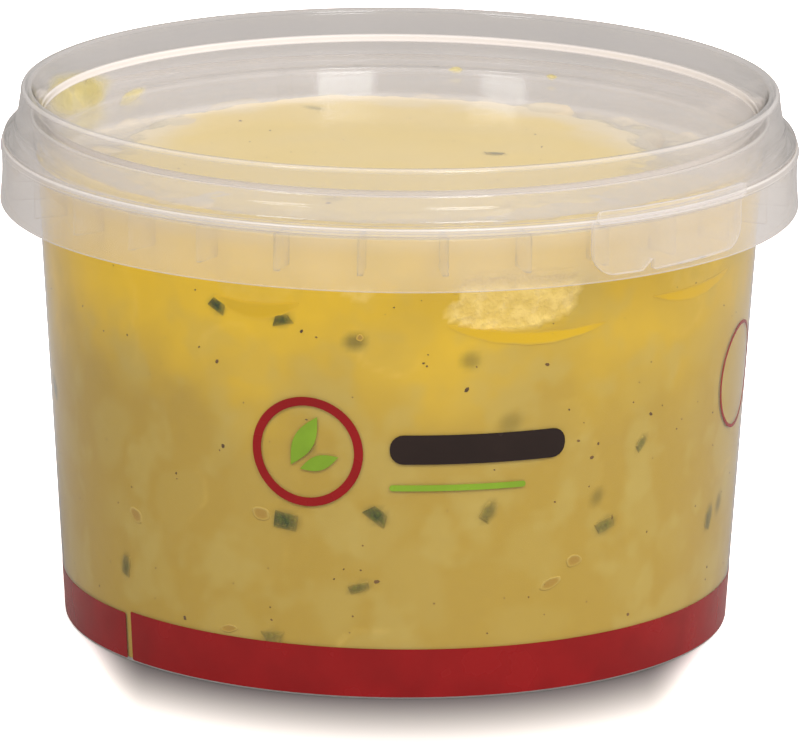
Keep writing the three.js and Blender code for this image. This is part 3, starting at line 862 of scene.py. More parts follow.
def clear_plastic(name, tint, roughness, dry, wet=(0, 0, 0)):
    """Clear plastic with a milky haze, which thickens where it is seen edge-on.

    dry is the haze of one surface. wet gives the haze, radius and top of the part that salad touches.
    """
    material, wires, shader = new_material(name)
    clouding = placed_group(wires, "Moulded haze", moulded_haze_group, {
        "Dry Haze": dry, "Wet Haze": wet[0], "Wet Radius": wet[1] / MM, "Wet Top": wet[2] / MM})
    facing = wires.add("LayerWeight", {"Blend": 0.5}).outputs["Facing"]
    cosine = wires.maths("MAXIMUM", wires.maths("SUBTRACT", 1.0, facing), 0.1)
    # Rounded edges get extra haze from their mask: a painted highlight along the edges.
    haze = wires.maths("MINIMUM", wires.maths("ADD", clouding["Haze"], wires.mask("painted_highlight")), 0.9)
    clear = wires.maths("SUBTRACT", 1.0, haze)
    through = wires.maths("POWER", clear, wires.maths("DIVIDE", 1.0, cosine))
    seen = wires.maths("SUBTRACT", 1.0, through)
    shadow = wires.add("LightPath").outputs["Is Shadow Ray"]
    wires.feed(shader.inputs["Alpha"], wires.times(seen, wires.line(shadow, -0.6, 1.0)))
    set_finish(wires, shader, tint, roughness, 0.3)
    mirror = wires.add("BsdfGlossy", {"Color": (1, 1, 1), "Roughness": roughness})
    share = wires.line(wires.maths("POWER", facing, 5.0), 1 - MIRROR_SHARE, MIRROR_SHARE)
    set_output(material, wires.add("MixShader", {0: share, 1: shader.outputs[0], 2: mirror.outputs[0]}))
    return material


def placed_dressing(wires):
    """Outputs of the dressing group with the salad's colours."""
    salad = bpy.context.scene.salad_settings
    return placed_group(wires, "Dressing", dressing_group, {
        "Dressing": salad.dressing, "Golden": salad.golden, "Potato": salad.potato})


def wet_surface(wires, shader, colour, relief, strength):
    """Wet gloss and mashed relief where the mask named free says that nothing presses on the salad."""
    free = wires.mask("free")
    set_finish(wires, shader, colour, 0.6, 0.1)
    wires.feed(shader.inputs["Coat Weight"], free)
    wires.feed(shader.inputs["Coat Roughness"], 0.18)
    height = wires.times(relief, free)
    bump = wires.add("Bump", {"Strength": strength, "Distance": 0.5 * MM, "Height": height})
    wires.feed(shader.inputs["Normal"], bump.outputs[0])
    wires.feed(shader.inputs["Coat Normal"], bump.outputs[0])


def core_material():
    """Creamy dressing with pale potato in it, stained where chive pieces lie just under its surface, with
    painted shade round the pieces that show. Painted light, shade and haze are marked below.
    """
    material, wires, shader = new_material("Dressing")
    salad = bpy.context.scene.salad_settings
    tint = bpy.context.scene.lid_settings.tint
    # A lighter copy of the potato's colour, used below for painted light.
    light = toned(salad.potato, 1.85, 1.76, 2.0)
    green = [0.75 * a + 0.25 * b for a, b in zip(salad.chive, salad.dressing)]
    dressing = placed_dressing(wires)
    _across, _along, height = wires.split(wires.place())
    flesh = wires.times(wires.mask("flesh"), wires.line(wires.rise(height, 38, 56), -0.3, 0.42))
    colour = wires.blend(flesh, dressing["Color"], salad.potato)
    # Painted light: paler towards the top of the wall and the edge of the salad's top, as if more light
    # reached it there, and milky where the lid's panel has air under it.
    shore = wires.times(wires.rise(height, 66, 69), 0.55)
    shore = wires.line(wires.rise(height, 60, 66), 0.38, shore)
    colour = wires.blend(shore, colour, light)
    # Painted haze: the light that the lid's milky plastic scatters is painted into the salad's colour as
    # the lid's tint.
    colour = wires.blend(wires.times(wires.mask("thin"), 0.5), colour, tint)
    # Painted shade: the salad's top, under the lid's panel, is painted a little darker.
    colour = wires.scaled(colour, wires.line(wires.mask("top"), -0.13, 1.0))
    # Painted light: in the hollows the pale potato is painted lighter still, towards the lighter copy of
    # its colour, mottled by a painted sparkle.
    painted_sparkle = wires.rise(wires.grain(wires.place(), 0.55, 4), 0.35, 0.65)
    chunk = wires.times(wires.mask("pale"), wires.line(painted_sparkle, 0.45, 0.5))
    colour = wires.blend(chunk, colour, light)
    # Green of chive pieces under the dressing, and painted shade round those that show.
    colour = wires.blend(wires.mask("chive_tint_and_shade"), colour, green)
    wet_surface(wires, shader, colour, dressing["Height"], 0.7)
    return material


def slice_material():
    """Boiled potato, which fades into the dressing towards the edge of each slice, with the lid's haze
    painted in.
    """
    material, wires, shader = new_material("Boiled potato")
    dressing = placed_dressing(wires)
    crumb = wires.line(wires.grain(wires.place(), 0.8, 3), 0.14, 0.94)
    flesh = wires.scaled(bpy.context.scene.salad_settings.potato, crumb)
    colour = wires.blend(wires.mask("coat"), flesh, dressing["Color"])
    # Painted haze: the light that the lid's milky plastic scatters is painted into the slices' colour as
    # the lid's tint.
    colour = wires.blend(0.4, colour, bpy.context.scene.lid_settings.tint)
    wet_surface(wires, shader, colour, dressing["Height"], 0.5)
    return material


def chive_material():
    """Green chive with fine ribs of lighter green, partly covered by dressing."""
    material, wires, shader = new_material("Chive")
    chive = bpy.context.scene.salad_settings.chive
    place = wires.place()
    streak = wires.grain(place, 2.5, 3)
    green = wires.blend(wires.rise(streak, 0.42, 0.66), chive, toned(chive, 2.4, 2.4, 2.4))
    cover = wires.line(wires.grain(place, 1.1, 2), 0.3, -0.15)
    cover = wires.maths("ADD", cover, wires.mask("coat"))
    cover.node.use_clamp = True
    colour = wires.blend(cover, green, placed_dressing(wires)["Color"])
    set_finish(wires, shader, colour, wires.line(streak, 0.3, 0.35), 0.15)
    bump = wires.add("Bump", {"Strength": 0.4, "Distance": 0.1 * MM, "Height": streak})
    wires.feed(shader.inputs["Normal"], bump.outputs[0])
    return material


def pepper_material():
    """Brown to black pepper specks."""
    material, wires, shader = new_material("Pepper")
    pepper = bpy.context.scene.salad_settings.pepper
    shade = wires.rise(wires.grain(wires.place(), 0.31, 2), 0.35, 0.62)
    colour = wires.blend(shade, pepper, toned(pepper, 0.42, 0.42, 0.42))
    set_finish(wires, shader, colour, wires.line(shade, 0.3, 0.4), 0.15)
    return material


def oil_material():
    """Golden oil, which fades into the dressing towards its edges."""
    material, wires, shader = new_material("Oil")
    cloud = wires.grain(wires.place(), 0.5, 2)
    base = placed_dressing(wires)["Color"]
    colour = wires.blend(wires.mask("inner"), base, bpy.context.scene.salad_settings.oil)
    set_finish(wires, shader, colour, wires.line(cloud, 0.1, 0.05), 0.1)
    return material


def air_material():
    """A thin film of dressing round trapped air: darker inside, pale along its rim, which is a painted
    highlight strongest along the upper edge.
    """
    material, wires, shader = new_material("Air pocket")
    salad = bpy.context.scene.salad_settings
    base = placed_dressing(wires)["Color"]
    colour = wires.blend(wires.mask("inner"), base, toned(salad.dressing, 0.86, 0.76, 0.68))
    colour = wires.blend(wires.mask("rim"), colour, toned(salad.potato, 1.1, 1.12, 1.4))
    set_finish(wires, shader, colour, wires.line(wires.mask("inner"), -0.3, 0.6), 0.2)
    return material


def smear_material():
    """A thin smear of dressing, which lets light through and thins out towards its rim."""
    material, wires, shader = new_material("Smear")
    potato = bpy.context.scene.salad_settings.potato
    cloud = wires.grain(wires.place(), 0.4, 2)
    patch = wires.times(wires.rise(cloud, 0.5, 0.8), 0.5)
    colour = wires.blend(patch, toned(potato, 1.5, 1.7, 2.6), potato)
    set_finish(wires, shader, colour, wires.line(cloud, 0.2, 0.3))
    thick = wires.line(wires.rise(cloud, 0.3, 0.7), 0.3, 0.65)
    wires.feed(shader.inputs["Alpha"], wires.times(thick, wires.mask("inner")))
    return material


def print_material(name, colour):
    """Ink under the wall's gloss, slightly uneven."""
    material, wires, shader = new_material(name)
    cloud = wires.grain(wires.place(), 0.12, 3)
    colour = wires.blend(wires.rise(cloud, 0.3, 0.7), toned(colour, 0.82, 0.82, 0.82), colour)
    set_finish(wires, shader, colour, wires.line(cloud, 0.12, 0.2), 0.25)
    return material


def tub_corners(sizes):
    """The tub in section as (radius, height, fillet, painted highlight), from the axis out, up, and back
    inside. The painted highlight is extra haze on a rounded edge.
    """
    foot_inner = sizes.foot_radius - FOOT_WIDTH
    base_top = FOOT_RECESS + BASE_THICKNESS
    inner_top = body_radius(PANEL_UNDERSIDE) - sizes.wall
    collar_inner = COLLAR_RADIUS - sizes.collar_wall
    waist = COLLAR_RADIUS - COLLAR_WAIST
    return [
        (0, FOOT_RECESS, 0),
        (foot_inner - FOOT_RECESS, FOOT_RECESS, 0.5 * MM),
        (foot_inner, 0, 0.3 * MM),
        (sizes.foot_radius, 0, FOOT_ROUNDING),
        (body_radius(PANEL_UNDERSIDE), PANEL_UNDERSIDE, 0.4 * MM),
        (waist - sizes.collar_wall, PANEL_UNDERSIDE, 0.3 * MM),
        (collar_inner, sizes.collar_bottom, 0.12 * MM),
        (COLLAR_RADIUS, sizes.collar_bottom, 0.28 * MM, 0.25),
        (waist, WAIST_HEIGHT, 20 * MM),
        (waist + 0.1 * MM, BEAD_BOTTOM, 0.25 * MM),
        (COLLAR_RADIUS - 0.05 * MM, BEAD_BOTTOM + 0.25 * MM, 0.2 * MM, 0.15),
        (COLLAR_RADIUS - 0.25 * MM, BEAD_TOP, 0.3 * MM, 0.3),
        (collar_inner, BEAD_TOP, 0.2 * MM),
        (collar_inner, PANEL_UNDERSIDE + LEDGE_THICKNESS, 0.25 * MM),
        (sizes.body_top_radius + 0.25 * MM, PANEL_UNDERSIDE + LEDGE_THICKNESS, 0.3 * MM),
        (RIM_RADIUS, RIM_TOP, 0.4 * MM, 0.15),
        (RIM_RADIUS - sizes.wall + 0.2 * MM, RIM_TOP, 0.3 * MM),
        (inner_top, PANEL_UNDERSIDE, 1 * MM),
        (body_radius(base_top) - sizes.wall, base_top, BASE_CORNER),
        (0, base_top, 0),
    ]


def lid_corners(sizes):
    """The lid in section, as for the tub, under its panel from the axis out, and back over it."""
    panel_top = PANEL_UNDERSIDE + LEDGE_THICKNESS
    skirt = COLLAR_RADIUS - 0.7 * MM - 1.8 * LID_GAP
    flange = BEAD_TOP + LID_GAP
    crown_under = CROWN_TOP - sizes.wall
    return [
        (0, PANEL_UNDERSIDE, 0),
        (sizes.panel_radius + 0.3 * MM, PANEL_UNDERSIDE, 0.6 * MM),
        (STEP_RADIUS + sizes.wall, STEP_HEIGHT, 0.8 * MM),
        (CROWN_INNER_RADIUS + sizes.wall, crown_under, 0.3 * MM),
        (CROWN_OUTER_RADIUS - sizes.wall, crown_under, 0.3 * MM),
        (KINK_RADIUS - sizes.wall, KINK_HEIGHT, 0.5 * MM),
        (skirt - sizes.wall, KINK_HEIGHT - 1.4 * MM, 0.8 * MM),
        (skirt - sizes.wall, panel_top + LID_GAP, 0.15 * MM),
        (skirt, panel_top + LID_GAP, 0.2 * MM),
        (skirt, flange, 0.15 * MM),
        (SHOULDER_RADIUS, flange, 0.3 * MM, 0.12),
        (SHOULDER_RADIUS - 0.3 * MM, flange + 0.7 * MM, 0.8 * MM),
        (SHOULDER_RADIUS - 1.8 * MM, flange + 2.2 * MM, 0.6 * MM),
        (KINK_RADIUS, KINK_HEIGHT, 0.4 * MM),
        (CROWN_OUTER_RADIUS, CROWN_TOP - 1.4 * MM, 0.8 * MM),
        (CROWN_OUTER_RADIUS - 0.1 * MM, CROWN_TOP, 0.6 * MM, 0.19),
        (CROWN_INNER_RADIUS + 0.15 * MM, CROWN_TOP, 0.65 * MM, 0.06),
        (STEP_RADIUS + 0.17 * MM, STEP_HEIGHT + 0.65 * MM, 0),
        (STEP_RADIUS, STEP_HEIGHT + 0.25 * MM, 0.25 * MM, 0.8),
        (STEP_RADIUS - 0.05 * MM, STEP_HEIGHT - 0.25 * MM, 0.25 * MM, 0.8),
        (STEP_RADIUS - 0.17 * MM, STEP_HEIGHT - 0.65 * MM, 0),
        (sizes.panel_radius, panel_top, 0.5 * MM, 0.06),
        (0, panel_top, 0),
    ]


def rib_shape(sizes):
    """Thin upright webs between body and collar, under the ledge."""
    bottom = PANEL_UNDERSIDE - RIB_HEIGHT
    top = PANEL_UNDERSIDE + RIB_INTO_LEDGE
    inner = body_radius(bottom) - RIB_SEAT
    outer = COLLAR_RADIUS - COLLAR_WAIST - sizes.collar_wall + RIB_SEAT
    half = RIB_THICKNESS / 2
    section = [(inner, -half), (outer, -half), (outer, half), (inner, half)]
    parts = []
    for i in range(sizes.rib_count):
        azimuth = RIB_AZIMUTH + i * 360 / sizes.rib_count
        out = on_round(1, azimuth, 0)
        side = on_round(1, azimuth + 90, 0)
        corners = [
            out * radius + side * across + Vector((0, 0, height))
            for height in (bottom, top) for radius, across in section]
        faces = [[3, 2, 1, 0], [4, 5, 6, 7], *ring_faces([range(4), range(4, 8)])]
        parts.append((corners, faces))
    return joined(parts)


def tab_shape():
    """The tear tab's plate with its nick, and the grip bar over the collar's bead. Also the painted
    highlight along its edges.
    """
    middle = (TAB_LEFT + TAB_RIGHT) / 2
    along = COLLAR_RADIUS * math.radians(1)
    left = (TAB_LEFT - middle) * along
    right = (TAB_RIGHT - middle) * along
    nick = (NICK_AZIMUTH - middle) * along
    plate = closed_outline([
        (left, GRIP_BOTTOM + 0.4 * MM, 0.2 * MM),
        (left, TAB_BOTTOM, 8 * MM),
        (nick - NICK_WIDTH / 2, TAB_BOTTOM, 0.3 * MM),
        (nick + NICK_WIDTH / 2, TAB_BOTTOM + NICK_HEIGHT, 0.15 * MM),
        (nick + 0.6 * NICK_WIDTH, TAB_BOTTOM - 0.1 * MM, 0.3 * MM),
        (right, TAB_BOTTOM + 0.3 * MM, 4 * MM),
        (right, GRIP_BOTTOM + 0.4 * MM, 0.2 * MM),
    ])
    grip = closed_outline([
        (left + 0.6 * MM, GRIP_BOTTOM, 0.5 * MM),
        (right + 0.4 * MM, GRIP_BOTTOM, 0.5 * MM),
        (right + 0.4 * MM, GRIP_TOP, 0.3 * MM),
        (left + 0.6 * MM, GRIP_TOP, 0.9 * MM),
    ])

    def on_collar(across, up, lift):
        return on_round(COLLAR_RADIUS - COLLAR_WAIST - TAB_SEAT + lift, middle + across / along, up)

    def on_bead(across, up, lift):
        return on_round(COLLAR_RADIUS + 0.1 * MM + lift, middle + across / along, up)

    thickness = COLLAR_WAIST + TAB_SEAT + TAB_PROUD
    parts, painted_highlight = [], []
    for loop, place, lift in ((plate, on_collar, thickness), (grip, on_bead, GRIP_THICKNESS)):
        part = sheet([loop], TAB_PITCH, place, lift, TAB_LINE)
        # The tab's outline gets a painted highlight: extra haze on its edge vertices.
        edge = np.array([tuple(place(p.x, p.y, height)) for p in loop for height in (0, lift)])
        for vertex in part[0]:
            painted_highlight.append(float(np.linalg.norm(edge - np.array(vertex), axis=1).min() < 0.01 * MM))
        parts.append(part)
    return joined(parts), {"painted_highlight": TAB_PAINTED_HIGHLIGHT * np.array(painted_highlight)}


def hollows_at(points):
    """How far the salad stands back from the wall in the hollows, and how pale it is there, partly from
    the potato's own colour and partly as painted light.
    """
    azimuth = np.degrees(np.arctan2(points[:, 0], -points[:, 1]))
    height = points[:, 2] + 0.7 * MM * wobble(points, 5 * MM, 12) + 0.25 * MM * wobble(points, 1.7 * MM, 2)
    uneven = 0.3 * wobble(points, 8 * MM, 20) + 0.12 * wobble(points, 2 * MM, 6)
    deepest = np.zeros(len(points))
    palest = np.zeros(len(points))
    for middle, half_width, lowest, depth, paleness in HOLLOWS:
        turn = np.abs((azimuth - middle + 540) % 360 - 180) / half_width + uneven
        floor = lowest + HOLLOW_BOWL * np.clip(turn, 0, 1.5) ** 3
        opened = smooth(height, floor, floor + HOLLOW_SLOPE) * smooth(turn, 1.1, 0.85)
        opened *= smooth(height, HOLLOW_TOP, HOLLOW_TOP - 3 * MM)
        deepest = np.maximum(deepest, depth * opened)
        palest = np.maximum(palest, paleness * smooth(opened, 0.3, 0.7))
    return deepest, palest * smooth(points[:, 2], HOLLOW_TOP - 3 * MM, HOLLOW_TOP - 4.6 * MM)


def past_mound(x, y):
    """How far outside the edge of the salad's flat top a place is, for arrays."""
    salad = bpy.context.scene.salad_settings
    edge = salad.mound_radius + 1.5 * MM * np.cos(3 * np.arctan2(x, -y) + 1)
    return np.hypot(x + 3 * MM, y + 3 * MM) - edge


def top_fall(x, y):
    """How far the salad's top falls away from the lid's panel, for arrays."""
    salad = bpy.context.scene.salad_settings
    radius = np.hypot(x, y)
    turn = np.cos(np.arctan2(x, -y) - math.radians(HIGH_SIDE))
    wall = COLLAR_RADIUS - 6 * MM
    fall = BACK_FALL * smooth(turn, 0.55, -0.6) * smooth(radius, salad.mound_radius - 4 * MM, wall)
    return fall + TROUGH * smooth(past_mound(x, y), 0, 12 * MM) * smooth(radius, wall, wall - 6 * MM)


def top_fall_at(radius, azimuth):
    """The same for one place."""
    spot = on_round(radius, azimuth, 0)
    return float(top_fall(np.array([spot.x]), np.array([spot.y]))[0])


def chive_tint_and_shade_at(points, seats):
    """Green of chive pieces under the dressing showing through it, and a ring of painted shade round the
    pieces that show, at each point.
    """
    shade = np.zeros(len(points))
    for seat in seats:
        away = points - np.array(seat.spot)
        near = np.flatnonzero((np.abs(away) < 2 * seat.length).all(axis=1))
        ahead = away[near] @ np.array(seat.along) / (0.5 * seat.length)
        aside = away[near] @ np.array(seat.along.cross(seat.out).normalized()) / (0.5 * seat.width)
        share = np.hypot(ahead, aside)
        # Pieces under the dressing show their green through it; round pieces that show, a dark green ring
        # is painted shade.
        if seat.coat > UNDER_DRESSING:
            tint_and_shade = (1.15 - 0.85 * seat.coat) * smooth(share, 1.75, 0.3)
        else:
            tint_and_shade = 0.4 * smooth(share, 1.6, 0.9)
        shade[near] = np.maximum(shade[near], tint_and_shade)
    return shade


def core_line():
    """The dressing in section as (radius, height), from under its middle out, up and over."""
    salad = bpy.context.scene.salad_settings
    shore = salad.shore_height
    return divided(rounded([
        (0, CORE_BOTTOM, 0),
        (contact_radius(0) - FOOT_WIDTH, CORE_BOTTOM, 0.3 * MM),
        (contact_radius(0), FOOT_ROUNDING, 0.2 * MM),
        (contact_radius(shore), shore, 0.8 * MM),
        (salad.mound_radius, contact_height(), 9 * MM),
        (0, contact_height(), 0),
    ]), GRID_PITCH)


def core_shape(chives, slices):
    """The dressing: pressed against wall and lid, lumpy where it stands clear. Also its masks."""
    top = contact_height()
    shore = bpy.context.scene.salad_settings.shore_height
    segments = int(2 * math.pi * COLLAR_RADIUS / (1.15 * GRID_PITCH))
    vertices, faces = turned(core_line(), segments)
    points = np.array([tuple(v) for v in vertices])
    radius = np.maximum(np.hypot(points[:, 0], points[:, 1]), 1e-6)
    height = points[:, 2]
    out = points[:, :2] / radius[:, None]
    wall = contact_radius(height)
    upward = smooth(radius, wall - 0.3 * MM, wall - 3 * MM)
    upward = np.where(height > 20 * MM, upward, 0)
    lumps = wobble(points, 7 * MM) + 0.5 * wobble(points, 3 * MM, 5)
    crumbs = wobble(points, 1.6 * MM, 9)

    # The side, which moves in and out, with its hollows
    hollow, chunk = hollows_at(points)
    outer = smooth(radius, 43 * MM, 49 * MM)
    hollow, chunk = hollow * outer, chunk * outer
    side = PRESS + 0.35 * MM * lumps - hollow * (1 + 0.25 * lumps) + 0.18 * MM * crumbs * (hollow > 0)
    loose = radius + side * (1 - upward)
    new_radius = np.where(height < FIRM_HEIGHT, radius, np.minimum(loose, wall))

    # The top, which moves up and down, and the side's upper edge, which follows it
    fall = top_fall(points[:, 0], points[:, 1])
    raised = PRESS - fall + (0.3 + 0.25 * fall / MM) * MM * lumps + 0.2 * MM * crumbs
    raised += top - height
    edge = 0.5 * MM * wobble(points, 9 * MM, 3)
    at_wall = top_fall(out[:, 0] * contact_radius(shore), out[:, 1] * contact_radius(shore))
    lowered = (at_wall - edge) * smooth(height, 45 * MM, shore)
    loose_height = height + raised * upward - lowered * (1 - upward)
    new_height = np.minimum(loose_height, top)

    gap = np.where(upward > 0.5, (top - loose_height) / FREE_GAP, (wall - loose) / FREE_GAP)
    points = np.column_stack([out * new_radius[:, None], new_height])
    flesh, pale = paint_slices(points, slices)
    # Mask for the lid's milky haze, painted into the salad's colour where its top falls away from the
    # panel.
    uneven = 3 * MM * wobble(points, 9 * MM, 8) + 1.5 * MM * wobble(points, 3 * MM, 4)
    thin = smooth(past_mound(points[:, 0], points[:, 1]) + uneven, -6 * MM, 3 * MM)
    masks = {
        "free": np.clip(gap, 0, 1),
        "chive_tint_and_shade": chive_tint_and_shade_at(points, chives),
        "flesh": flesh,
        "pale": np.maximum(pale, chunk),
        "top": upward,
        "thin": upward * thin * smooth(points[:, 1], -12 * MM, 8 * MM),
    }
    return (points, faces), masks


def slice_reach(angle, shift):
    """Uneven outline of a slice: its reach at an angle, for numbers and arrays."""
    bent = 0.15 * np.cos(2 * angle + shift) + 0.11 * np.cos(3 * angle + 2.3 * shift)
    return 1 + bent + 0.05 * np.cos(5 * angle + 4.1 * shift)


def slice_seats():
    """Where each potato slice lies: along the wall, then on top."""
    salad = bpy.context.scene.salad_settings
    draw = random.Random(salad.seed)
    places = []
    for i in range(salad.wall_slices):
        azimuth = i * GOLDEN_ANGLE + draw.uniform(-6, 6)
        height = (6 + 56 * (i + draw.random()) / salad.wall_slices) * MM
        places.append((on_round(contact_radius(height), azimuth, height), on_round(1, azimuth, 0), False))
    for i in range(salad.top_slices):
        radius = TOP_REACH * math.sqrt((i + 0.5) / salad.top_slices)
        azimuth = i * GOLDEN_ANGLE
        fall = top_fall_at(radius, azimuth)
        spot = on_round(radius, azimuth, contact_height() - fall)
        lean = Vector((draw.uniform(-0.2, 0.2), draw.uniform(-0.2, 0.2), 1))
        loose = fall > 0.5 * MM
        places.append((spot, lean.normalized() if loose else Vector((0, 0, 1)), loose))
    seats = []
    for spot, facing, loose in places:
        side = facing.orthogonal().normalized()
        side.rotate(Matrix.Rotation(draw.uniform(0, math.pi), 3, facing))
        sizes = (draw.uniform(4.5, 8.5) * MM, draw.uniform(3.6, 6.6) * MM, draw.uniform(1.8, 3) * MM)
        shift = draw.uniform(0, 6)
        edge = draw.choice((0.2, 0.45, 0.65, 0.85))
        seats.append(SliceSeat(spot, facing, side, sizes, shift, edge, draw.uniform(0.35, 1), loose))
    return seats


def paint_slices(points, seats):
    """Masks of the slices that show through the dressing: their flesh and their pale outline."""
    flesh = np.zeros(len(points))
    pale = np.zeros(len(points))
    for seat in seats:
        away = points - np.array(seat.spot)
        near = np.flatnonzero((np.abs(away) < 1.5 * seat.sizes[0]).all(axis=1))
        across = away[near] @ np.array(seat.side) / seat.sizes[0]
        up = away[near] @ np.array(seat.facing.cross(seat.side)) / seat.sizes[1]
        angle = np.arctan2(up, across)
        share = np.hypot(across, up) / slice_reach(angle, seat.shift)
        flesh[near] = np.maximum(flesh[near], seat.strength * smooth(share, 1, 1 - seat.edge))
        line = np.exp(-((share - 1) / 0.08) ** 2) * np.clip(np.cos(angle - seat.shift), 0, 1)
        pale[near] = np.maximum(pale[near], 0.22 * line * seat.strength * (seat.edge < 0.3))
    return flesh, pale


def slice_shape(seat):
    """A cut slice of boiled potato: flat faces, rounded edges. Also its coat of dressing."""
    length, width, thickness = seat.sizes
    centre = seat.spot - seat.facing * (thickness - 0.5 * MM)
    other = seat.facing.cross(seat.side)
    steps = [(i / SLICE_RINGS, 1) for i in range(SLICE_RINGS + 1)]
    steps += [(i / SLICE_RINGS, -1) for i in range(SLICE_RINGS - 1, -1, -1)]
    vertices, coat, rings = [], [], []
    for share, front in steps:
        start = len(vertices)
        around = SLICE_POINTS if share else 1
        for i in range(around):
            angle = 2 * math.pi * i / around
            reach = share * float(slice_reach(angle, seat.shift))
            up = front * thickness * math.sqrt(max(0.0, 1 - share ** 5))
            way = Vector((reach * math.cos(angle), reach * math.sin(angle), seat.shift))
            up += 0.16 * MM * noise.noise(3 * way)
            spot = seat.side * (length * way.x) + other * (width * way.y)
            vertices.append(centre + spot + seat.facing * up)
            coat.append(float(smooth(share, 0.35, 0.95)) if front > 0 else 1.0)
        rings.append(range(start, start + around) if share else [start] * SLICE_POINTS)
    return vertices, [[first, *others[::-1]] for first, *others in ring_faces(rings)], coat


def press_in(vertices, over):
    """Keeps points within the room that wall and lid leave, and says which of them stand free."""
    pressed, free = [], []
    top = contact_height() + over
    for point in vertices:
        radius = math.hypot(point.x, point.y)
        limit = contact_radius(point.z) + over
        gap = min(limit - radius, top - point.z)
        free.append(min(1.0, max(0.0, gap / FREE_GAP)))
        shrink = min(1.0, limit / max(radius, 1e-6))
        pressed.append(Vector((point.x * shrink, point.y * shrink, min(point.z, top))))
    return pressed, free


def slices_shape(seats):
    """The potato slices that stand clear of wall and lid, with their masks."""
    parts, coats, frees = [], [], []
    for seat in seats:
        if seat.stands_out:
            vertices, faces, coat = slice_shape(seat)
            vertices, free = press_in(vertices, SLICE_PROUD)
            parts.append((vertices, faces))
            coats += coat
            frees += free
    return joined(parts), {"coat": coats, "free": frees}


def chive_seats():
    """Where each chive piece lies: at the front, along the rest of the wall, then on top."""
    salad = bpy.context.scene.salad_settings
    draw = random.Random(salad.seed + 1)
    wall = list(FRONT_CHIVES)
    for i in range(salad.back_chives):
        azimuth = 80 + 200 * (i + draw.random()) / salad.back_chives
        height = (5 + 55 * ((i * GOLDEN_SHARE + 0.2 * draw.random()) % 1)) * MM
        length, width = draw.uniform(2.2, 3.6) * MM, draw.uniform(1.5, 2.5) * MM
        wall.append((azimuth, height, draw.uniform(0, 180), length, width, draw.uniform(0, 0.8)))
    seats = []
    for azimuth, height, turn, length, width, coat in wall:
        out = on_round(1, azimuth, 0)
        across = on_round(1, azimuth + 90, 0)
        along = across * math.cos(math.radians(turn)) + Vector((0, 0, math.sin(math.radians(turn))))
        spot = on_round(contact_radius(height) - 0.1 * width, azimuth, height)
        seats.append(ChiveSeat(spot, along, out, length, width, coat))
    for i in range(salad.top_chives):
        radius = CHIVE_REACH * math.sqrt((i + 0.4) / salad.top_chives)
        azimuth = 70 + i * GOLDEN_ANGLE
        fall = top_fall_at(radius, azimuth)
        heading = draw.uniform(0, 2 * math.pi)
        along = Vector((math.cos(heading), math.sin(heading), 0))
        length, width = draw.uniform(2.2, 3.8) * MM, draw.uniform(1.5, 2.5) * MM
        spot = on_round(radius, azimuth, contact_height() - fall - 0.2 * width)
        seats.append(ChiveSeat(spot, along, Vector((0, 0, 1)), length, width, draw.uniform(0.3, 0.9)))
    return seats


def chive_shape(seat, around=16):
    """A cut length of hollow chive stem, pressed a little flat and bent. Also its coat."""
    middle, along, out, length, width, coat = seat
    side = along.cross(out).normalized()
    slant = noise.noise(middle / MM)
    vertices, covered, rings = [], [], []
    for share, thick in CHIVE_STATIONS:
        bend = 0.12 * length * (0.25 - share * share)
        thick *= 1 + 0.16 * noise.noise(Vector((3 * share, middle.x / MM, middle.z / MM)))
        rings.append(range(len(vertices), len(vertices) + around))
        for i in range(around):
            angle = 2 * math.pi * i / around
            reach = side * (0.5 * width * thick * math.cos(angle))
            reach += out * (0.34 * width * thick * math.sin(angle) + bend)
            cut = share * length + slant * share * width * math.cos(angle)
            vertices.append(middle + along * cut + reach)
            edge = 0.45 * abs(math.cos(angle)) ** 4 + (1.5 if share > 0 else 0.5) * share * share
            covered.append(min(1.0, coat + edge))
    return vertices, ring_faces([*rings, rings[0]]), covered


def chives_shape(seats):
    """The chive pieces that show clearly, pressed against the wall or the lid. Also their coat."""
    parts, coats = [], []
    for seat in seats:
        if seat.coat <= UNDER_DRESSING:
            vertices, faces, coat = chive_shape(seat)
            parts.append((press_in(vertices, CHIVE_PROUD)[0], faces))
            coats += coat
    return joined(parts), {"coat": coats}


def speck_shape(draw, spot, facing, size):
    """One flat, angular speck."""
    side = facing.orthogonal().normalized()
    side.rotate(Matrix.Rotation(draw.uniform(0, 2 * math.pi), 3, facing))
    other = facing.cross(side)
    long = size * draw.uniform(1, 1.7)
    rim = []
    for i in range(SPECK_SIDES):
        angle = 2 * math.pi * i / SPECK_SIDES
        reach = draw.uniform(0.7, 1.1)
        across = side * (long * math.cos(angle) * reach)
        rim.append(spot + across + other * (size * math.sin(angle) * reach))
    vertices = [*rim, spot + facing * 0.5 * size, spot - facing * size]
    sides = [(i, (i + 1) % SPECK_SIDES) for i in range(SPECK_SIDES)]
    faces = [[i, j, SPECK_SIDES] for i, j in sides] + [[j, i, SPECK_SIDES + 1] for i, j in sides]
    return vertices, faces


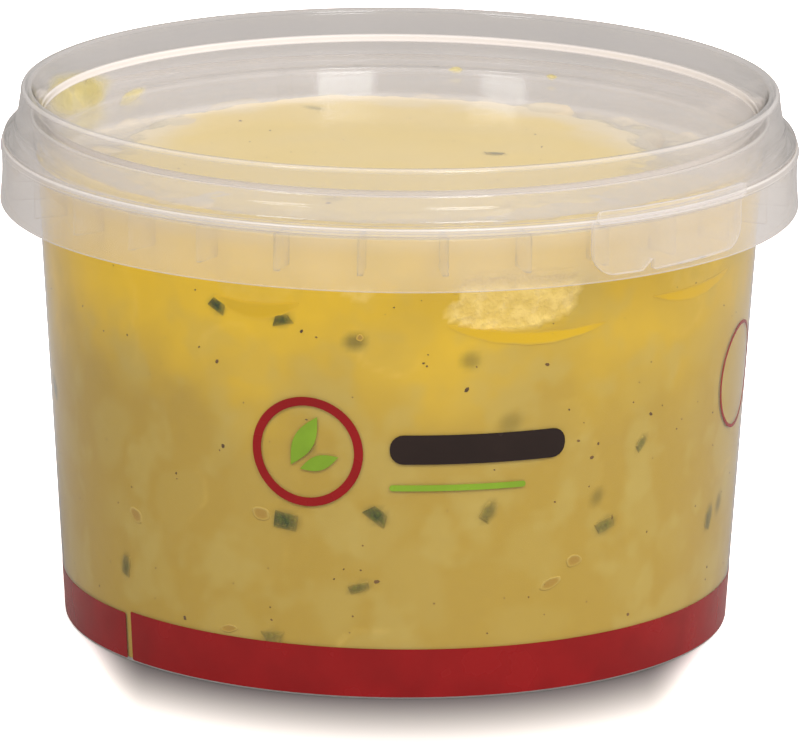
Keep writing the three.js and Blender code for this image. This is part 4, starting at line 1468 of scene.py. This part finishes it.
def specks_shape():
    """Pepper specks: the dark ones at the front, and fine ones all over wall and top."""
    salad = bpy.context.scene.salad_settings
    draw = random.Random(salad.seed + 2)
    parts = []
    for azimuth, height, size in FRONT_SPECKS:
        spot = on_round(contact_radius(height) + 0.02 * MM, azimuth, height)
        parts.append(speck_shape(draw, spot, on_round(1, azimuth, 0), size))
    for azimuth, radius, size in TOP_SPECKS:
        spot = on_round(radius, azimuth, contact_height() - top_fall_at(radius, azimuth))
        parts.append(speck_shape(draw, spot, Vector((0, 0, 1)), size))
    for _ in range(salad.specks):
        azimuth = draw.uniform(-180, 180)
        size = draw.uniform(0.07, 0.17) * MM
        if draw.random() < 0.72:
            height = draw.uniform(3, 62) * MM
            spot = on_round(contact_radius(height) + SPECK_PROUD, azimuth, height)
            facing = on_round(1, azimuth, 0)
        else:
            radius = TOP_REACH * math.sqrt(draw.random())
            fall = top_fall_at(radius, azimuth)
            spot = on_round(radius, azimuth, contact_height() + SPECK_PROUD - fall)
            facing = Vector((0, 0, 1))
        parts.append(speck_shape(draw, spot, facing, size))
    return joined(parts)


def air_shape():
    """Flat oval blots with a raised rim, against the wall, with their masks."""
    parts, shares, slopes = [], [], []
    for number, (azimuth, height, long, tall, turn) in enumerate(AIR_POCKETS):
        around = contact_radius(height)

        def on_wall(across, up, lift):
            return on_round(contact_radius(up) + lift, math.degrees(across / around), up)

        middle = (math.radians(azimuth) * around, height)
        vertices, faces, share = blot(on_wall, middle, (long, tall), turn, 3.1 * number, AIR_STATIONS)
        parts.append((vertices, faces))
        shares += share
        slopes += [(vertex.z - height) / tall for vertex in vertices]
    shares, slopes = np.array(shares), np.array(slopes)
    # The rim's mask is a painted highlight, brighter along the upper edge, as if lit from above.
    ridge = smooth(shares, 0.7, 0.88) * smooth(shares, 1.08, 0.9)
    return joined(parts), {
        "inner": smooth(shares, 0.95, 0.5), "rim": ridge * (0.35 + 0.25 * np.clip(slopes, -1, 1))}


def oil_shape():
    """Oil along the lower edges of the hollows, as thin curved lenses against the wall. Also its mask."""
    parts, inner = [], []
    for left, low, right, width in OIL_LINES:
        vertices, rings = [], []
        for i in range(OIL_STEPS + 1):
            share = i / OIL_STEPS
            azimuth = left[0] + (right[0] - left[0]) * share
            bend = (azimuth - left[0]) * (azimuth - right[0]) / ((low[0] - left[0]) * (low[0] - right[0]))
            line = left[1] + (right[1] - left[1]) * share
            at_low = left[1] + (right[1] - left[1]) * (low[0] - left[0]) / (right[0] - left[0])
            middle = line + (low[1] - at_low) * bend
            full = max(0.02, math.sin(math.pi * share)) ** 0.6
            wide = 0.5 * width * full * (1 + 0.25 * noise.noise(Vector((azimuth * 0.3, width / MM, 0))))
            rings.append(range(len(vertices), len(vertices) + 2 * len(OIL_STATIONS)))
            for side, order in ((OIL_FRONT, OIL_STATIONS), (OIL_BACK, OIL_STATIONS[::-1])):
                for part in order:
                    up = middle + wide * part
                    vertices.append(on_round(contact_radius(up) + side, azimuth, up))
                    inner.append(float(smooth(abs(part), 1, 0.62)) * min(1, 1.6 * full))
        faces = ring_faces(rings)
        faces += [list(rings[0]), list(rings[-1])[::-1]]
        parts.append((vertices, faces))
    return joined(parts), {"inner": inner}


def smear_shape():
    """Salad squeezed up between the tub's rim and the lid's wall, at the left and the back."""
    lid = bpy.context.scene.lid_settings
    low = Vector((lid.panel_radius + 0.3 * MM, PANEL_UNDERSIDE))
    high = Vector((STEP_RADIUS + lid.wall, STEP_HEIGHT))
    around = high.x * math.radians(1)

    def on_lid_wall(across, up, lift):
        share = (up - low.y) / (high.y - low.y)
        return on_round(low.x + (high.x - low.x) * share + lift, across / around, up)

    parts, shares = [], []
    for number, (azimuth, height, wide, tall, turn) in enumerate(SMEARS):
        middle = (azimuth * around, height)
        vertices, faces, share = blot(
            on_lid_wall, middle, (wide, tall), turn, 2.7 * number, SMEAR_STATIONS, 0.35)
        parts.append((vertices, faces))
        shares += share
    return joined(parts), {"inner": smooth(np.array(shares), 1, 0.45)}


def on_print(across, up, lift):
    """A place in the print on the wall, from millimetres round the front at mid height."""
    azimuth = math.degrees(across / body_radius(0.5 * PANEL_UNDERSIDE))
    return on_round(body_radius(up) - FILM_SEAT + lift, azimuth, up)


def circle(middle, radius, points=72):
    """A flat closed circle."""
    angles = [2 * math.pi * i / points for i in range(points)]
    return [Vector((middle[0] + radius * math.cos(a), middle[1] + radius * math.sin(a))) for a in angles]


def bar(left, bottom, right, top):
    """A bar with round ends."""
    fillet = 0.49 * (top - bottom)
    corners = [(left, bottom), (right, bottom), (right, top), (left, top)]
    return closed_outline([(*c, fillet) for c in corners])


def leaf(middle, length, width, turn, steps=16):
    """A pointed leaf between two arcs."""
    loop = []
    for side, places in ((1, range(steps)), (-1, range(steps, 0, -1))):
        for share in (i / steps for i in places):
            loop.append(Vector(((share - 0.5) * length, side * 0.5 * width * math.sin(math.pi * share))))
    spin = Matrix.Rotation(math.radians(turn), 2)
    return [spin @ p + Vector(middle) for p in loop]


def band_shape(settings):
    """The foot band, wrapped once round the wall and open at its seam."""
    around = body_radius(settings.band_bottom)
    start = math.radians(BAND_SEAM) * around + BAND_GAP / 2
    length = 2 * math.pi * around - BAND_GAP
    loop = closed_outline([
        (0, settings.band_bottom, BAND_ROUNDING),
        (length, settings.band_bottom, BAND_ROUNDING),
        (length, settings.band_top, BAND_ROUNDING),
        (0, settings.band_top, BAND_ROUNDING),
    ])

    def on_band(across, up, lift):
        fall = settings.skew * across / length * smooth(up, settings.band_bottom, settings.band_top)
        height = up - float(fall)
        azimuth = math.degrees((start + across) / around)
        return on_round(body_radius(height) - FILM_SEAT + lift, azimuth, height)

    return sheet([loop], BAND_PITCH, on_band, FILM)


def films(shapes, pitch):
    """Thin films on the wall, each over its own flat loops, as one shape."""
    return joined([sheet(loops, pitch, on_print, FILM) for loops in shapes])


def point_at(thing, spot, target):
    """Puts a light or camera at a spot, facing a target."""
    thing.location = spot
    thing.rotation_mode = "QUATERNION"
    thing.rotation_quaternion = (target - spot).to_track_quat("-Z", "Y")


def direct_view(wires):
    """1 where the camera looks at a surface with nothing clear in between, else 0."""
    path = wires.add("LightPath")
    bare = wires.maths("LESS_THAN", path.outputs["Transparent Depth"], 0.5)
    return wires.times(path.outputs["Is Camera Ray"], bare)


def painted_floor_shadow(wires):
    """A shadow painted on the floor in front of the foot, as if the light from above and behind were held
    off: how dark the floor looks there.
    """
    side, behind, _up = wires.split(wires.place())
    across = wires.maths("ABSOLUTE", side)
    foot = bpy.context.scene.tub_settings.foot_radius / MM
    half = wires.maths("SUBTRACT", foot * foot, wires.times(across, across))
    edge = wires.maths("SQRT", wires.maths("MAXIMUM", half, 0.0))
    ahead = wires.line(behind, -1.0, wires.times(edge, -1.0))
    level = wires.line(ahead, (1 - SHADOW_DEPTH) / SHADOW_REACH, SHADOW_DEPTH)
    # Towards the sides of the foot and behind its front half, the floor is fully bright again
    beside = wires.maths("MAXIMUM", wires.rise(across, 36, 54), wires.rise(behind, -12, 8))
    level = wires.line(beside, 1.25, wires.maths("MAXIMUM", level, SHADOW_DEPTH))
    gain = wires.maths("POWER", wires.times(level, WHITE_LEVEL), DISPLAY_GAMMA)
    return wires.maths("MINIMUM", gain, 1.0)


def add_softbox(name, azimuth, elevation, distance, wide, tall, strength, in_gloss):
    """A rectangular light that faces the tub."""
    light = bpy.data.lights.new(name, "AREA")
    light.shape = "RECTANGLE"
    light.size = wide
    light.size_y = tall
    light.energy = strength
    lamp = bpy.data.objects.new(name, light)
    lamp.visible_glossy = in_gloss
    bpy.context.scene.collection.objects.link(lamp)
    rise = math.radians(elevation)
    spot = LIGHT_AIM + on_round(distance * math.cos(rise), azimuth, distance * math.sin(rise))
    point_at(lamp, spot, LIGHT_AIM)


def add_floor(stage):
    """The pale floor, which looks brighter to the camera than it lights, with a shadow painted in front of
    the foot.
    """
    material, wires, shader = new_material("Studio floor")
    shade = wires.times(painted_floor_shadow(wires), stage.backdrop_gain)
    gain = wires.line(direct_view(wires), wires.maths("SUBTRACT", shade, 1.0), 1.0)
    set_output(material, wires.add("BsdfDiffuse", {"Color": wires.scaled(stage.floor, gain)}))
    material.node_tree.nodes.remove(shader)
    mesh = bpy.data.meshes.new("floor")
    corners = [(-1, -1), (1, -1), (1, 1), (-1, 1)]
    mesh.from_pydata([(FLOOR_REACH * x, FLOOR_REACH * y, 0) for x, y in corners], [], [[0, 1, 2, 3]])
    mesh.materials.append(material)
    floor = bpy.data.objects.new("floor", mesh)
    bpy.context.scene.collection.objects.link(floor)


def add_sky(stage):
    """Even light all round, which looks white to the camera."""
    world = bpy.data.worlds.new("Studio")
    world.use_nodes = True
    background = world.node_tree.nodes["Background"]
    background.inputs["Color"].default_value = (1, 0.985, 0.97, 1)
    wires = Wires(world.node_tree)
    wires.feed(background.inputs["Strength"], wires.maths("MAXIMUM", direct_view(wires), stage.sky))
    bpy.context.scene.world = world


def add_camera(stage):
    """The camera at the photograph's angle."""
    aim = Vector((stage.aim_side, 0, stage.aim_height))
    away = on_round(math.cos(stage.elevation), 0, math.sin(stage.elevation))
    camera = bpy.data.objects.new("camera", bpy.data.cameras.new("camera"))
    camera.data.lens = stage.lens
    camera.data.sensor_width = 36
    camera.data.clip_end = 100
    bpy.context.scene.collection.objects.link(camera)
    point_at(camera, aim + away * stage.distance, aim)
    turn = Matrix.Rotation(stage.roll, 3, "Z").to_quaternion()
    camera.rotation_quaternion = camera.rotation_quaternion @ turn
    bpy.context.scene.camera = camera


class SALADTUB_OT_tub(bpy.types.Operator):
    """Turn the tub with its collar and rim, and set the ribs under its ledge"""

    bl_idname = "saladtub.tub"
    bl_label = "Tub"

    def execute(self, context):
        sizes = context.scene.tub_settings
        wet = (sizes.wet_haze, WET_RADIUS, WET_TOP)
        plastic = clear_plastic("Tub plastic", sizes.tint, 0.08, sizes.haze, wet)
        corners = tub_corners(sizes)
        shape = turned(divided(rounded(corners), TUB_PITCH), SEGMENTS)
        masks = {"painted_highlight": edge_painted_highlight(shape[0], corners)}
        add_piece("tub_shell", shape, plastic, "tub", masks)
        clearer = clear_plastic("Rib plastic", sizes.tint, 0.22, RIB_HAZE * sizes.haze)
        ribs = add_piece("tub_ribs", rib_shape(sizes), clearer)
        soften_edges(ribs, RIB_ROUNDING)
        return {"FINISHED"}


class SALADTUB_OT_tab(bpy.types.Operator):
    """Make the tear tab on the collar"""

    bl_idname = "saladtub.tab"
    bl_label = "Tear tab"

    def execute(self, context):
        sizes = context.scene.tub_settings
        plastic = clear_plastic("Tab plastic", sizes.tint, 0.1, TAB_HAZE * sizes.haze)
        shape, masks = tab_shape()
        tab = add_piece("tear_tab", shape, plastic, masks=masks)
        soften_edges(tab, TAB_ROUNDING)
        return {"FINISHED"}


class SALADTUB_OT_lid(bpy.types.Operator):
    """Turn the lid, with a panel that is slightly out of true"""

    bl_idname = "saladtub.lid"
    bl_label = "Lid"

    def execute(self, context):
        sizes = context.scene.lid_settings
        panel = (sizes.panel_haze, sizes.panel_radius, PANEL_TOP)
        plastic = clear_plastic("Lid plastic", sizes.tint, 0.1, sizes.haze, panel)
        corners = lid_corners(sizes)
        vertices, faces = turned(divided(rounded(corners), LID_PITCH), SEGMENTS)
        masks = {"painted_highlight": edge_painted_highlight(vertices, corners)}
        points = np.array([tuple(v) for v in vertices])
        radius = np.hypot(points[:, 0], points[:, 1])
        flat = smooth(radius, sizes.panel_radius, sizes.panel_radius - 6 * MM)
        level = points * (1, 1, 0)
        points[:, 2] += sizes.waviness * flat * wobble(level, 26 * MM)
        add_piece("lid_shell", (points, faces), plastic, "lid", masks)
        return {"FINISHED"}


class SALADTUB_OT_salad(bpy.types.Operator):
    """Fill the tub with dressing and potato slices"""

    bl_idname = "saladtub.salad"
    bl_label = "Salad"

    def execute(self, context):
        slices = slice_seats()
        shape, masks = core_shape(chive_seats(), slices)
        add_piece("salad_core", shape, core_material(), "salad", masks)
        shape, masks = slices_shape(slices)
        add_piece("potato_slices", shape, slice_material(), masks=masks)
        return {"FINISHED"}


class SALADTUB_OT_chives(bpy.types.Operator):
    """Lay the chive pieces against wall and lid"""

    bl_idname = "saladtub.chives"
    bl_label = "Chives"

    def execute(self, context):
        shape, masks = chives_shape(chive_seats())
        add_piece("chive_pieces", shape, chive_material(), masks=masks)
        return {"FINISHED"}


class SALADTUB_OT_pepper(bpy.types.Operator):
    """Scatter the pepper specks"""

    bl_idname = "saladtub.pepper"
    bl_label = "Pepper"

    def execute(self, context):
        add_piece("pepper_specks", specks_shape(), pepper_material())
        return {"FINISHED"}


class SALADTUB_OT_liquids(bpy.types.Operator):
    """Add the oil, the air trapped against the wall and the smears under the lid's rim"""

    bl_idname = "saladtub.liquids"
    bl_label = "Oil, air and smears"

    def execute(self, context):
        shape, masks = oil_shape()
        add_piece("oil_lines", shape, oil_material(), masks=masks)
        shape, masks = air_shape()
        add_piece("air_pockets", shape, air_material(), masks=masks)
        shape, masks = smear_shape()
        add_piece("salad_smears", shape, smear_material(), masks=masks)
        return {"FINISHED"}


class SALADTUB_OT_print(bpy.types.Operator):
    """Wrap the print round the wall: foot band, rings, leaves and bars"""

    bl_idname = "saladtub.print"
    bl_label = "Print"

    def execute(self, context):
        settings = context.scene.print_settings
        red = print_material("Red ink", settings.red)
        dark = print_material("Dark ink", settings.dark)
        green = print_material("Green ink", settings.green)
        add_piece("print_band", band_shape(settings), red)
        rings = [[circle(middle, outer), circle(middle, inner)] for middle, outer, inner in PRINT_RINGS]
        add_piece("print_rings", films(rings, FILM_PITCH), red)
        leaves = [[leaf(*sizes)] for sizes in PRINT_LEAVES]
        add_piece("print_leaf", films([*leaves, [bar(*THIN_BAR)]], LEAF_PITCH), green)
        add_piece("print_bar", films([[bar(*THICK_BAR)]], FILM_PITCH), dark)
        return {"FINISHED"}


class SALADTUB_OT_stage(bpy.types.Operator):
    """Set up the pale floor, the soft light and the camera"""

    bl_idname = "saladtub.stage"
    bl_label = "Stage"

    def execute(self, context):
        scene = context.scene
        add_floor(scene.stage_settings)
        add_sky(scene.stage_settings)
        for name, softbox in SOFTBOXES.items():
            add_softbox(name, *softbox)
        add_camera(scene.stage_settings)
        scene.view_settings.view_transform = "Standard"
        scene.cycles.transparent_max_bounces = 32
        scene.cycles.max_bounces = 4
        scene.cycles.diffuse_bounces = 2
        scene.cycles.glossy_bounces = 2
        return {"FINISHED"}


class SALADTUB_PT_panel(bpy.types.Panel):
    """Sidebar panel that lists the steps"""

    bl_idname = "SALADTUB_PT_panel"
    bl_label = "Salad Tub"
    bl_space_type = "VIEW_3D"
    bl_region_type = "UI"
    bl_category = "Salad Tub"

    def draw(self, context):
        for step in STEPS:
            self.layout.operator(step.bl_idname)


STEPS = (
    SALADTUB_OT_tub,
    SALADTUB_OT_tab,
    SALADTUB_OT_lid,
    SALADTUB_OT_salad,
    SALADTUB_OT_chives,
    SALADTUB_OT_pepper,
    SALADTUB_OT_liquids,
    SALADTUB_OT_print,
    SALADTUB_OT_stage,
)
SETTINGS = {
    "tub_settings": TubSettings,
    "lid_settings": LidSettings,
    "salad_settings": SaladSettings,
    "print_settings": PrintSettings,
    "stage_settings": StageSettings,
}


def register():
    """Registers the classes and hangs the settings on the scene."""
    for group in SETTINGS.values():
        bpy.utils.register_class(group)
    for name, group in SETTINGS.items():
        setattr(bpy.types.Scene, name, PointerProperty(type=group))
    for step in (*STEPS, SALADTUB_PT_panel):
        bpy.utils.register_class(step)


def unregister():
    """Takes the classes and settings away again."""
    for step in reversed((*STEPS, SALADTUB_PT_panel)):
        bpy.utils.unregister_class(step)
    for name in SETTINGS:
        delattr(bpy.types.Scene, name)
    for group in reversed(SETTINGS.values()):
        bpy.utils.unregister_class(group)


def main():
    """Makes every piece in order."""
    register()
    for step in STEPS:
        family, name = step.bl_idname.split(".")
        getattr(getattr(bpy.ops, family), name)()


if __name__ == "__main__":
    main()
